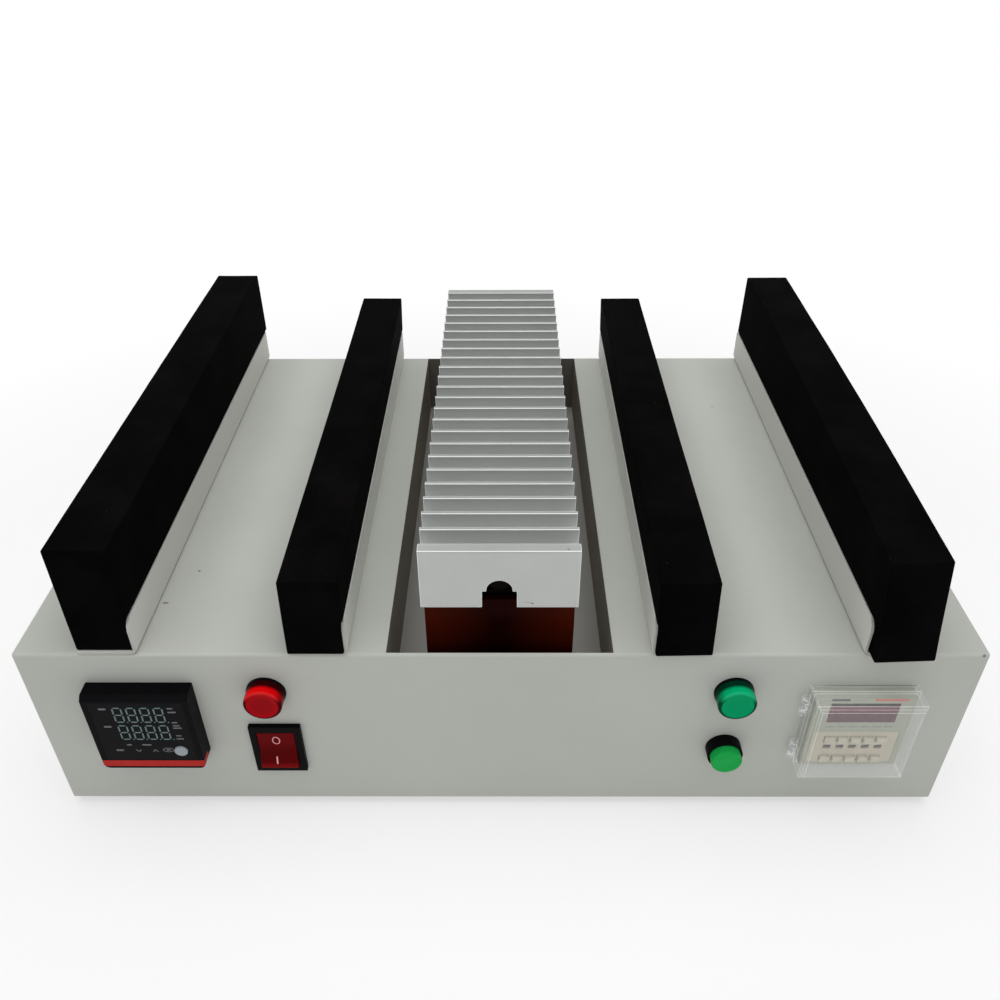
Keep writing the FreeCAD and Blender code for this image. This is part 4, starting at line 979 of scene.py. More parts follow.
def prism(work: bmesh.types.BMesh, outline: Sequence[Point], start: float, end: float) -> None:
    """Add a straight prism along Y.

    Args:
        work: the mesh to add to.
        outline: corners as (x, z), in order.
        start: where it starts along Y.
        end: where it ends.
    """
    rings = [[work.verts.new((x, y, z)) for x, z in outline] for y in (start, end)]
    work.faces.new(rings[0])
    work.faces.new(reversed(rings[1]))
    count = len(outline)
    for index in range(count):
        after = (index + 1) % count
        work.faces.new((rings[0][after], rings[0][index], rings[1][index], rings[1][after]))


def block(work: bmesh.types.BMesh, low: Sequence[float], high: Sequence[float]) -> None:
    """Add a block between two corners.

    Args:
        work: the mesh to add to.
        low: the lowest corner.
        high: the highest corner.
    """
    prism(work, ((low[0], low[2]), (high[0], low[2]), (high[0], high[2]), (low[0], high[2])), low[1], high[1])


def lathe(profile: Sequence[Point], steps: int = 72) -> bmesh.types.BMesh:
    """Turn a closed profile about Z.

    Args:
        profile: points as (radius, z); a radius of zero is a pole.
        steps: how many steps go round.

    Returns:
        The turned mesh.
    """
    work = bmesh.new()
    turns = [WHOLE_TURN * step / steps for step in range(steps)]
    rings = []
    for radius, z in profile:
        if radius == 0:
            rings.append([work.verts.new((0, 0, z))] * steps)
        else:
            rings.append([work.verts.new((radius * math.cos(a), radius * math.sin(a), z)) for a in turns])
    for ring, following in zip(rings, rings[1:] + rings[:1]):
        for step in range(steps):
            after = (step + 1) % steps
            corners = dict.fromkeys((ring[step], ring[after], following[after], following[step]))
            if len(corners) > 2:
                work.faces.new(list(corners))
    return work


def arc(centre: Point, radius: float, start: float, end: float, steps: int = 6) -> list[Point]:
    """Points on a round.

    Args:
        centre: the round's middle.
        radius: its radius.
        start: the first angle, in degrees.
        end: the last angle.
        steps: how many steps it has.

    Returns:
        The points in order.
    """
    angles = [math.radians(start + (end - start) * step / steps) for step in range(steps + 1)]
    return [(centre[0] + radius * math.cos(a), centre[1] + radius * math.sin(a)) for a in angles]


def rounded(centre: Point, width: float, height: float, radius: float) -> list[Point]:
    """A rectangle with round corners.

    Args:
        centre: its middle.
        width: its width.
        height: its height.
        radius: the radius of its corners.

    Returns:
        Its outline.
    """
    x, z = width / 2 - radius, height / 2 - radius
    corners = ((x, -z, -90), (x, z, 0), (-x, z, 90), (-x, -z, 180))
    points = []
    for dx, dz, start in corners:
        points += arc((centre[0] + dx, centre[1] + dz), radius, start, start + 90, 4)
    return points


def to_mesh(name: str, work: bmesh.types.BMesh) -> bpy.types.Mesh:
    """End a work mesh, with its faces outwards.

    Args:
        name: the mesh's name.
        work: the work mesh, which is freed.

    Returns:
        The mesh.
    """
    bmesh.ops.recalc_face_normals(work, faces=work.faces)
    mesh = bpy.data.meshes.new(name)
    work.to_mesh(mesh)
    work.free()
    return mesh


def evaluated(holder: bpy.types.Object) -> bpy.types.Mesh:
    """Take the mesh that an object's modifiers give.

    Args:
        holder: the object, which is removed.

    Returns:
        A plain mesh.
    """
    graph = bpy.context.evaluated_depsgraph_get()
    mesh = bpy.data.meshes.new_from_object(holder.evaluated_get(graph), depsgraph=graph)
    bpy.data.objects.remove(holder)
    return mesh


def held(name: str, mesh: bpy.types.Mesh) -> bpy.types.Object:
    """Put a mesh or a text in the scene.

    Args:
        name: the object's name.
        mesh: its mesh or text.

    Returns:
        The object.
    """
    holder = bpy.data.objects.new(name, mesh)
    bpy.context.scene.collection.objects.link(holder)
    return holder


def soften(
    mesh: bpy.types.Mesh, width: float, segments: int = 2, finishes: Sequence[Finish] = ()
) -> bpy.types.Mesh:
    """Break a mesh's hard edges and shade it smooth.

    Args:
        mesh: the mesh.
        width: how wide the broken edges are; zero leaves hard edges hard.
        segments: how many steps a broken edge has.
        finishes: the mesh's finish, and the one of its broken edges if that is another.

    Returns:
        The new mesh.
    """
    mesh.materials.clear()
    for coat in finishes:
        mesh.materials.append(material_of(coat))
    mesh.shade_smooth()
    holder = held(mesh.name, mesh)
    if width:
        edges = holder.modifiers.new("edges", "BEVEL")
        edges.width = width
        edges.segments = segments
        edges.limit_method = "ANGLE"
        edges.angle_limit = HARD_ANGLE
        edges.material = 1 if len(finishes) > 1 else -1
    else:
        mesh.set_sharp_from_angle(angle=HARD_ANGLE)
    normals = holder.modifiers.new("normals", "WEIGHTED_NORMAL")
    normals.keep_sharp = not width
    return evaluated(holder)


# Geometry Nodes

class Layout(Tree):
    """A Geometry Nodes tree that repeats a template and ends in real faces with a material."""

    def __init__(self, name: str, wants: dict[str, str]) -> None:
        """Start a tree with named inputs.

        Args:
            name: the tree's name.
            wants: the inputs' names and socket types.
        """
        super().__init__(bpy.data.node_groups.new(name, "GeometryNodeTree"))
        face = self.tree.interface
        face.new_socket("Geometry", in_out="OUTPUT", socket_type="NodeSocketGeometry")
        face.new_socket("Geometry", in_out="INPUT", socket_type="NodeSocketGeometry")
        self.keys = {}
        for label, kind in {"Template": "NodeSocketObject", "Finish": "NodeSocketMaterial", **wants}.items():
            self.keys[label] = face.new_socket(label, in_out="INPUT", socket_type=kind).identifier
        self.inputs = self.node("NodeGroupInput").outputs
        self.build()

    def build(self) -> None:
        """Add the tree's nodes."""
        raise NotImplementedError

    def repeat(self, points: Any, turn: Any = None) -> None:
        """Set the template on points and end the tree.

        Args:
            points: the points' socket.
            turn: a link to each copy's rotation, if it has one.
        """
        template = self.node("GeometryNodeObjectInfo", None, {"Object": self.inputs["Template"]})
        sockets = {"Points": points, "Instance": template.outputs["Geometry"]}
        if turn is not None:
            sockets["Rotation"] = turn
        copies = self.node("GeometryNodeInstanceOnPoints", None, sockets)
        real = self.node("GeometryNodeRealizeInstances", None, {"Geometry": copies.outputs[0]})
        dressed = self.node("GeometryNodeSetMaterial", None, {
            "Geometry": real.outputs[0], "Material": self.inputs["Finish"],
        })
        self.node("NodeGroupOutput", None, {"Geometry": dressed.outputs[0]})

    def make(
        self, name: str, template: bpy.types.Mesh, finish: Finish, values: dict[str, Any],
        carrier: bpy.types.Mesh | None = None,
    ) -> bpy.types.Mesh:
        """Run the tree.

        Args:
            name: the new mesh's name.
            template: what is repeated.
            finish: its finish.
            values: the other inputs.
            carrier: the mesh whose points carry the copies, if the tree needs one.

        Returns:
            A plain mesh.
        """
        pattern = held(f"{name}_template", template)
        holder = held(name, carrier or bpy.data.meshes.new(name))
        repeater = holder.modifiers.new("repeat", "NODES")
        repeater.node_group = self.tree
        for label, value in {"Template": pattern, "Finish": material_of(finish), **values}.items():
            repeater[self.keys[label]] = value
        mesh = evaluated(holder)
        bpy.data.objects.remove(pattern)
        return mesh


class RowLayout(Layout):
    """Copies in a straight row."""

    def __init__(self) -> None:
        """Start the tree."""
        wants = {"Count": "NodeSocketInt", "Start": "NodeSocketVector", "Step": "NodeSocketVector"}
        super().__init__("row_of_copies", wants)

    def build(self) -> None:
        """Add the tree's nodes."""
        line = self.node("GeometryNodeMeshLine", {"mode": "OFFSET"}, {
            "Count": self.inputs["Count"],
            "Start Location": self.inputs["Start"],
            "Offset": self.inputs["Step"],
        })
        self.repeat(line.outputs[0])


class SeatLayout(Layout):
    """Copies on the points of a mesh, each turned to the way that its point faces."""

    def __init__(self) -> None:
        """Start the tree."""
        super().__init__("copies_on_seats", {})

    def build(self) -> None:
        """Add the tree's nodes."""
        way = self.node("GeometryNodeInputNamedAttribute", {"data_type": "FLOAT_VECTOR"}, {"Name": "facing"})
        turn = self.node("FunctionNodeAlignRotationToVector", {"axis": "Z"}, {"Vector": way.outputs[0]})
        self.repeat(self.inputs["Geometry"], turn.outputs[0])

    @staticmethod
    def seats(places: Sequence[Vector], ways: Sequence[Triple]) -> bpy.types.Mesh:
        """Make the points.

        Args:
            places: where each copy sits.
            ways: which way each one faces.

        Returns:
            A mesh of points that carries the ways.
        """
        mesh = bpy.data.meshes.new("seats")
        mesh.from_pydata([tuple(place) for place in places], [], [])
        kept = mesh.attributes.new("facing", "FLOAT_VECTOR", "POINT")
        for item, way in zip(kept.data, ways):
            item.vector = way
        return mesh


@functools.cache
def row_layout() -> RowLayout:
    """The one tree for rows."""
    return RowLayout()


@functools.cache
def seat_layout() -> SeatLayout:
    """The one tree for seats."""
    return SeatLayout()


# Pieces

class Workshop:
    """Turns meshes into pieces that ride on the frame's bodies."""

    def __init__(self) -> None:
        """Learn which body carries each node."""
        self.nodes = frame["nodes"]
        bodies = frame["record"]["behaviour"]["bodies"]
        self.body_of = {node: body for body, members in bodies.items() for node in members}

    def add(
        self, name: str, mesh: bpy.types.Mesh, finish: Finish, body: str = "case",
        replaces: Sequence[str] = (), more: Sequence[Finish] = (),
    ) -> bpy.types.Object:
        """Make a piece of a mesh.

        Args:
            name: the piece's name.
            mesh: its mesh, in place.
            finish: its finish.
            body: the body that it rides on.
            replaces: the nodes that it stands for.
            more: the finishes of its further material slots.

        Returns:
            The piece.
        """
        mesh.name = name
        slots = [face.material_index for face in mesh.polygons]
        mesh.materials.clear()
        for coat in (finish, *more):
            mesh.materials.append(material_of(coat))
        for face, slot in zip(mesh.polygons, slots):
            face.material_index = min(slot, len(more))
        piece = held(name, mesh)
        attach(piece, body)
        if replaces:
            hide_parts(*replaces)
        return piece

    def copied(self, node: str) -> bmesh.types.BMesh:
        """Copy a node's shape with its triangles merged into faces.

        Args:
            node: the node.

        Returns:
            A work mesh.
        """
        work = bmesh.new()
        work.from_mesh(self.nodes[node].data)
        bmesh.ops.remove_doubles(work, verts=work.verts, dist=MERGE_DISTANCE)
        bmesh.ops.dissolve_limit(work, angle_limit=FLAT_ANGLE, verts=work.verts, edges=work.edges)
        return work

    def edged(
        self, node: str, finish: Finish, width: float, segments: int = 2, edge: Finish | None = None,
        work: bmesh.types.BMesh | None = None,
    ) -> bpy.types.Object:
        """Stand a copy with broken edges in a node's place.

        Args:
            node: the node.
            finish: the copy's finish.
            width: how wide its broken edges are.
            segments: how many steps they have.
            edge: the finish of the broken edges, if it is another one.
            work: the copy, if it has been worked on already.

        Returns:
            The piece.
        """
        mesh = to_mesh(node, work or self.copied(node))
        for layer in [item for item in mesh.attributes if item.name in ("custom_normal", "UVMap")]:
            mesh.attributes.remove(layer)
        finishes = (finish,) if edge is None else (finish, edge)
        mesh = soften(mesh, width, segments, finishes)
        return self.add(f"{node}_dressed", mesh, finish, self.body_of[node], (node,), finishes[1:])

    def repaint(self, node: str, finish: Finish) -> bpy.types.Object:
        """Give a node that stays as it is a finish.

        Args:
            node: the node.
            finish: its finish.

        Returns:
            The node's object.
        """
        piece = self.nodes[node]
        piece.data.materials.clear()
        piece.data.materials.append(material_of(finish))
        return piece


class Assembly(Protocol):
    """A sub-assembly that can be dressed."""

    def dress(self, shop: Workshop) -> Iterator[bpy.types.Object]:
        """Make the pieces."""


class CaseShell:
    """The folded cover, the trough under its opening and the base plate."""

    def dress(self, shop: Workshop) -> Iterator[bpy.types.Object]:
        """Make the pieces.

        Args:
            shop: makes pieces of meshes.

        Returns:
            Each piece in turn.
        """
        yield shop.edged("case_cover", CASE_PAINT, 0)
        # The trough takes the darker copy of the case paint, painted shade.
        yield shop.repaint("trough", TROUGH_PAINT_SHADED)
        yield shop.repaint("base_plate", CASE_PAINT)


@dataclass
class ScrewsAndFeet:
    """The pan-head screws in the case sides, and the rubber feet with their screws."""

    head_radius: float = 2.8 * MM
    head_height: float = 1.8 * MM
    dome_radius: float = 0.9 * MM
    screw_steps: int = 32
    shank_radius: float = 1.4 * MM
    shank_length: float = 5 * MM
    cross_length: float = 3 * MM
    cross_width: float = 0.7 * MM
    cross_depth: float = 1 * MM
    side_pitch: float = 110 * MM
    side_height: float = 13 * MM
    foot_inset: Point = (34 * MM, 30 * MM)
    foot_height: float = 6 * MM
    foot_top: float = 10 * MM
    foot_bottom: float = 8.5 * MM
    foot_steps: int = 48
    rim_radius: float = 0.7 * MM
    shoulder_inset: Point = (0.1 * MM, 0.4 * MM)
    shoulder_drop: float = 0.6 * MM
    recess_lip: float = 0.3 * MM
    recess_radius: float = 4 * MM
    recess_depth: float = 3 * MM
    hole_radius: float = 1.6 * MM

    def screw(self) -> bpy.types.Mesh:
        """Make one screw that faces up, with its seat at zero.

        Returns:
            Its mesh.
        """
        radius, height = self.head_radius, self.head_height
        dome = arc((radius - self.dome_radius, height - self.dome_radius), self.dome_radius, 0, 90)
        profile = [(0, -self.shank_length), (self.shank_radius, -self.shank_length), (self.shank_radius, 0)]
        profile += [(radius, 0), *dome, (0, height)]
        head = held("screw", to_mesh("screw", lathe(profile, self.screw_steps)))
        tool = bmesh.new()
        long, wide = self.cross_length / 2, self.cross_width / 2
        floor = height - self.cross_depth
        block(tool, (-long, -wide, floor), (long, wide, height + MM))
        cross = held("cross", to_mesh("cross", tool))
        turned = held("cross_turned", cross.data.copy())
        turned.data.transform(Matrix.Rotation(QUARTER_TURN, 4, "Z"))
        for cutter in (cross, turned):
            cut = head.modifiers.new("cross", "BOOLEAN")
            cut.operation = "DIFFERENCE"
            cut.object = cutter
        mesh = evaluated(head)
        for cutter in (cross, turned):
            bpy.data.objects.remove(cutter)
        return soften(mesh, 0)

    def foot(self) -> bpy.types.Mesh:
        """Make one foot that stands on the table.

        Returns:
            Its mesh.
        """
        height, lip = self.foot_height, self.recess_lip
        outer, inner = (self.foot_top - inset for inset in self.shoulder_inset)
        rim = arc((self.foot_bottom - self.rim_radius, self.rim_radius), self.rim_radius, -90, 0)
        profile = [
            (self.hole_radius, self.recess_depth), (self.recess_radius, self.recess_depth),
            (self.recess_radius, lip), (self.recess_radius + lip, 0), *rim,
            (outer, height - self.shoulder_drop), (inner, height), (self.hole_radius, height),
        ]
        return soften(to_mesh("foot", lathe(profile, self.foot_steps)), 0)

    def dress(self, shop: Workshop) -> Iterator[bpy.types.Object]:
        """Make the pieces.

        Args:
            shop: makes pieces of meshes.

        Returns:
            Each piece in turn.
        """
        low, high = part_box("case_cover")
        middle = (low.y + high.y) / 2
        places, ways = [], []
        for side in Side:
            for step in (-1, 0, 1):
                x = low.x if side is Side.LEFT else high.x
                places.append(Vector((x, middle + step * self.side_pitch, self.side_height)))
                ways.append((side.value, 0, 0))
        layout = seat_layout()
        mesh = layout.make("side_screws", self.screw(), STEEL, {}, layout.seats(places, ways))
        yield shop.add("side_screws", mesh, STEEL, replaces=("base_screws",))

        inset_x, inset_y = self.foot_inset
        corners = [
            Vector((x, y, 0)) for x in (low.x + inset_x, high.x - inset_x)
            for y in (low.y + inset_y, high.y - inset_y)
        ]
        up = [(0, 0, 1)] * len(corners)
        mesh = layout.make("feet", self.foot(), RUBBER, {}, layout.seats(corners, up))
        yield shop.add("feet", mesh, RUBBER, replaces=("rubber_feet",))
        heads = [corner + Vector((0, 0, self.recess_depth)) for corner in corners]
        down = [(0, 0, -1)] * len(corners)
        mesh = layout.make("feet_screws", self.screw(), STEEL, {}, layout.seats(heads, down))
        yield shop.add("feet_screws", mesh, STEEL, replaces=("foot_screws",))


@dataclass
class FoamRail:
    """One angle rail and the foam strip that stands on it, spills over its leg and leans inwards."""

    label: str
    side: Side
    near_lean: Point
    far_lean: Point
    nod: float
    skew: float = 0.0
    splay: Point = (0.0, 0.0)
    foot_ahead: float = 0.0
    rail_thick: float = 1.2 * MM
    rail_edge: float = 0.45 * MM
    bend: float = 2.2 * MM
    bend_steps: int = 6
    shoulder: float = 1.5 * MM
    foam_edge: float = 0.9 * MM
    edge_steps: int = 3
    cell: float = 9 * MM
    sag: float = 0.35 * MM
    wave: float = 55 * MM
    ripples: int = 5
    ripple_share: float = 0.2
    seed_spread: float = 40.0

    def rail(self, shop: Workshop) -> bmesh.types.BMesh:
        """Copy the rail and round the outside of its bend.

        Args:
            shop: copies nodes.

        Returns:
            A work mesh.
        """
        node = f"rail_{self.label}"
        low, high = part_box(node)
        corner = Vector((high.x if self.side is Side.LEFT else low.x, 0, low.z))
        work = shop.copied(node)
        near = 0.01 * MM
        at_bend = {
            vert for vert in work.verts
            if abs(vert.co.x - corner.x) < near and abs(vert.co.z - corner.z) < near
        }
        outside = [edge for edge in work.edges if all(vert in at_bend for vert in edge.verts)]
        self.round_off(work, outside, self.bend, self.bend_steps)
        return work

    @staticmethod
    def round_off(
        work: bmesh.types.BMesh, edges: Sequence[bmesh.types.BMEdge], reach: float, steps: int
    ) -> None:
        """Round some edges of a work mesh.

        Args:
            work: the work mesh.
            edges: its edges.
            reach: how far from an edge the rounding starts.
            steps: how many steps it has.
        """
        bmesh.ops.bevel(
            work, geom=edges, offset=reach, segments=steps, profile=ROUND_BEVEL, affect="EDGES"
        )

    def foam(self) -> bpy.types.Mesh:
        """Make the foam: a block with soft edges, moved to its lean, its faces a little uneven.

        Returns:
            Its mesh.
        """
        rail_low, rail_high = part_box(f"rail_{self.label}")
        foam_low, foam_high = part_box(f"foam_{self.label}")
        low = Vector((rail_low.x, foam_low.y + self.nod + self.skew / 2, rail_low.z + self.rail_thick))
        high = Vector((rail_high.x, foam_high.y, foam_high.z))
        if self.side is Side.LEFT:
            high.x -= self.rail_thick
        else:
            low.x += self.rail_thick
        crest = rail_high.z
        work = bmesh.new()
        block(work, low, high)
        bmesh.ops.recalc_face_normals(work, faces=work.faces)
        self.round_off(work, work.edges[:], self.foam_edge, self.edge_steps)
        for axis in range(3):
            count = max(2, round((high[axis] - low[axis]) / self.cell))
            levels = [low[axis] + (high[axis] - low[axis]) * step / count for step in range(1, count)]
            if axis == 2:
                levels += [crest, crest + self.shoulder]
            along = Vector([float(index == axis) for index in range(3)])
            for level in levels:
                everything = [*work.verts, *work.edges, *work.faces]
                bmesh.ops.bisect_plane(work, geom=everything, plane_co=along * level, plane_no=along)
        bmesh.ops.recalc_face_normals(work, faces=work.faces)
        work.normal_update()
        moves = [self.move(vert, low, high, crest) for vert in work.verts]
        for vert, move in zip(work.verts, moves):
            vert.co += move
        return soften(to_mesh(f"foam_{self.label}", work), 0)

    def lean(self, z: float, out: float, front: float, levels: Triple) -> float:
        """How far towards the middle a place of the plain block goes.

        Args:
            z: its height.
            out: its share of the way from the near face to the far one.
            front: how much of the front's lean it has.
            levels: the heights of the foot, the rail's crest and the top.

        Returns:
            The lean.
        """
        foot, crest, top = levels
        near_foot, far_foot = (-splay * front for splay in self.splay)
        near_top = self.near_lean[1] + (self.near_lean[0] - self.near_lean[1]) * front
        far_top = self.far_lean[1] + (self.far_lean[0] - self.far_lean[1]) * front
        far = far_foot + (far_top - far_foot) * (z - foot) / (top - foot)
        over = crest + self.shoulder
        if z <= crest:
            near = near_foot * (crest - z) / (crest - foot)
        elif z <= over:
            near = self.rail_thick * (z - crest) / self.shoulder
        else:
            near = self.rail_thick + (near_top - self.rail_thick) * (z - over) / (top - over)
        return near + (far - near) * out

    def move(self, vert: bmesh.types.BMVert, low: Vector, high: Vector, crest: float) -> Vector:
        """How far a point of the plain block goes.

        Args:
            vert: the point.
            low: the block's lowest corner.
            high: its highest corner.
            crest: the height of the rail's crest.

        Returns:
            The move, leaning and sinking in a little.
        """
        rise = clamped((vert.co.z - crest) / (high.z - crest))
        back = clamped((vert.co.y - low.y) / (high.y - low.y))
        out = (vert.co.x - low.x) / (high.x - low.x)
        if self.side is Side.LEFT:
            out = 1 - out
        lean = self.lean(vert.co.z, out, (1 - back) ** 2, (low.z, crest, high.z))
        sunk = clamped((crest - vert.co.z) / (crest - low.z))
        share = (vert.co.z - low.z) / (high.z - low.z)
        ahead = self.foot_ahead + (self.nod - self.foot_ahead) * share
        ahead += self.skew * (0.5 - out) * (1 - sunk / 2)
        shift = Vector((-self.side.value * lean, -ahead * (1 - back), 0))
        seed = Vector((self.nod, self.side.value, self.skew)) * self.seed_spread
        broad = noise.noise(vert.co / self.wave + seed)
        fine = noise.noise(vert.co / (self.wave / self.ripples))
        uneven = 0.5 + 0.5 * broad + self.ripple_share * fine
        return shift - vert.normal * self.sag * max(0.0, uneven) * rise

    def dress(self, shop: Workshop) -> Iterator[bpy.types.Object]:
        """Make the pieces.

        Args:
            shop: makes pieces of meshes.

        Returns:
            Each piece in turn.
        """
        # The rail takes the lighter copy of the case paint, painted light.
        yield shop.edged(f"rail_{self.label}", RAIL_PAINT_LIT, self.rail_edge, 3, work=self.rail(shop))
        strip = shop.add(f"foam_strip_{self.label}", self.foam(), FOAM, replaces=(f"foam_{self.label}",))
        yield strip


@dataclass
class HeaterBlock:
    """The finned block with its keyhole groove, the resin blocks under it, and what is in the groove."""

    base: float = 18 * MM
    plate: float = 5.3 * MM
    fin: float = 2 * MM
    fins: int = 22
    slot_width: float = 15 * MM
    slot_height: float = 8.95 * MM
    groove: float = 5.6 * MM
    crown: float = 0.5 * MM
    keyhole_steps: int = 24
    root: float = 0.5 * MM
    edge: float = 0.28 * MM
    resin_edge: float = 0.5 * MM

    def profile(self, half: float, bottom: float, height: float) -> list[Point]:
        """The outline of a slice across the block.

        Args:
            half: half the block's width.
            bottom: the height of its underside.
            height: the slice's height.

        Returns:
            The outline, with the keyhole in its underside.
        """
        slot, shoulder = self.slot_width / 2, bottom + self.slot_height
        top = bottom + height
        keyhole = arc((0, shoulder + self.crown), self.groove, 180, 0, self.keyhole_steps)
        return [
            (half, bottom), (half, top), (-half, top), (-half, bottom), (-slot, bottom), (-slot, shoulder),
            (-self.groove, shoulder), *keyhole, (self.groove, shoulder), (slot, shoulder), (slot, bottom),
        ]

    def block(self) -> bpy.types.Mesh:
        """Make the block: two end plates, a base between them and a row of fins.

        Returns:
            Its mesh.
        """
        low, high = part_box("heat_sink")
        half = high.x
        tall = high.z - low.z
        work = bmesh.new()
        front, rear = low.y + self.plate, high.y - self.plate
        prism(work, self.profile(half, low.z, tall), low.y, front)
        prism(work, self.profile(half, low.z, tall), rear, high.y)
        prism(work, self.profile(half, low.z, self.base), front, rear)

        gap = (rear - front - self.fins * self.fin) / (self.fins + 1)
        blade = bmesh.new()
        block(blade, (-half, 0, low.z + self.base - self.root), (half, self.fin, high.z))
        values = {"Count": self.fins, "Start": (0, front + gap, 0), "Step": (0, gap + self.fin, 0)}
        row = row_layout().make("fins", to_mesh("fin", blade), ALUMINIUM, values)
        work.from_mesh(row)
        # The block's broken edges take the painted highlight.
        return soften(to_mesh("heater_block", work), self.edge, finishes=(ALUMINIUM, HIGHLIGHT_EDGE))

    def dress(self, shop: Workshop) -> Iterator[bpy.types.Object]:
        """Make the pieces.

        Args:
            shop: makes pieces of meshes.

        Returns:
            Each piece in turn.
        """
        yield shop.add("heater_block", self.block(), ALUMINIUM, replaces=("heat_sink",), more=(HIGHLIGHT_EDGE,))
        for node in ("insulator_front", "insulator_rear"):
            yield shop.edged(node, RESIN, self.resin_edge)
        for node in ("temperature_probe", "sink_screws"):
            yield shop.repaint(node, STEEL)
        # The rod and the clamp bar in the groove are painted near-black: painted shade.
        yield shop.repaint("heater_rod", GROOVE_SHADE_STEEL)
        yield shop.repaint("heater_clamp", GROOVE_SHADE_BAR)


class Printing:
    """Flat marks on a panel that faces forward."""

    BAR_ROUND = 0.4

    def __init__(self, front: float, thick: float = 0.06 * MM) -> None:
        """Start on a panel.

        Args:
            front: the panel's place along Y.
            thick: how far the marks stand proud of it.
        """
        self.work = bmesh.new()
        self.back = front + thick
        self.front = front - thick

    def shape(self, outline: Sequence[Point]) -> None:
        """Add a mark with an outline."""
        prism(self.work, outline, self.front, self.back)

    def bar(self, x: float, z: float, width: float, height: float) -> None:
        """Add a bar with round ends.

        Args:
            x: its middle along the panel.
            z: its middle height.
            width: its width.
            height: its height.
        """
        self.shape(rounded((x, z), width, height, min(width, height) * self.BAR_ROUND))

    def stroke(self, start: Point, end: Point, width: float) -> None:
        """Add a straight stroke.

        Args:
            start: where it starts.
            end: where it ends.
            width: how wide it is.
        """
        run = Vector((end[0] - start[0], end[1] - start[1]))
        across = Vector((-run.y, run.x)).normalized() * width / 2
        self.shape([
            (start[0] - across.x, start[1] - across.y), (end[0] - across.x, end[1] - across.y),
            (end[0] + across.x, end[1] + across.y), (start[0] + across.x, start[1] + across.y),
        ])

    def arrow(self, x: float, z: float, size: float, way: Way, width: float) -> None:
        """Add an open arrow.

        Args:
            x: its middle along the panel.
            z: its middle height.
            size: how wide it is.
            way: which way it points.
            width: how wide its strokes are.
        """
        rise = way.value * size / 3
        for side in Side:
            self.stroke((x + side.value * size / 2, z - rise), (x, z + rise), width)

    def ring(self, x: float, z: float, radii: Point, wall: float, steps: int = 40) -> None:
        """Add a round or oval ring.

        Args:
            x: its middle along the panel.
            z: its middle height.
            radii: its outer radii along and up.
            wall: how wide its line is.
            steps: how many steps go round.
        """
        angles = [WHOLE_TURN * step / steps for step in range(steps)]
        loops = []
        for inset in (0.0, wall):
            for depth in (self.front, self.back):
                loops.append([
                    self.work.verts.new((
                        x + (radii[0] - inset) * math.cos(a), depth, z + (radii[1] - inset) * math.sin(a)
                    )) for a in angles
                ])
        for first, second in ((0, 1), (1, 3), (3, 2), (2, 0)):
            for step in range(steps):
                after = (step + 1) % steps
                self.work.faces.new((
                    loops[first][step], loops[first][after], loops[second][after], loops[second][step]
                ))

    def mesh(self, name: str) -> bpy.types.Mesh:
        """End the printing.

        Args:
            name: the mesh's name.

        Returns:
            The mesh.
        """
        return to_mesh(name, self.work)


@dataclass(frozen=True)
class Label:
    """A printed bar: its middle from the panel's middle, and its size, in millimetres."""

    x: float
    z: float
    width: float
    height: float


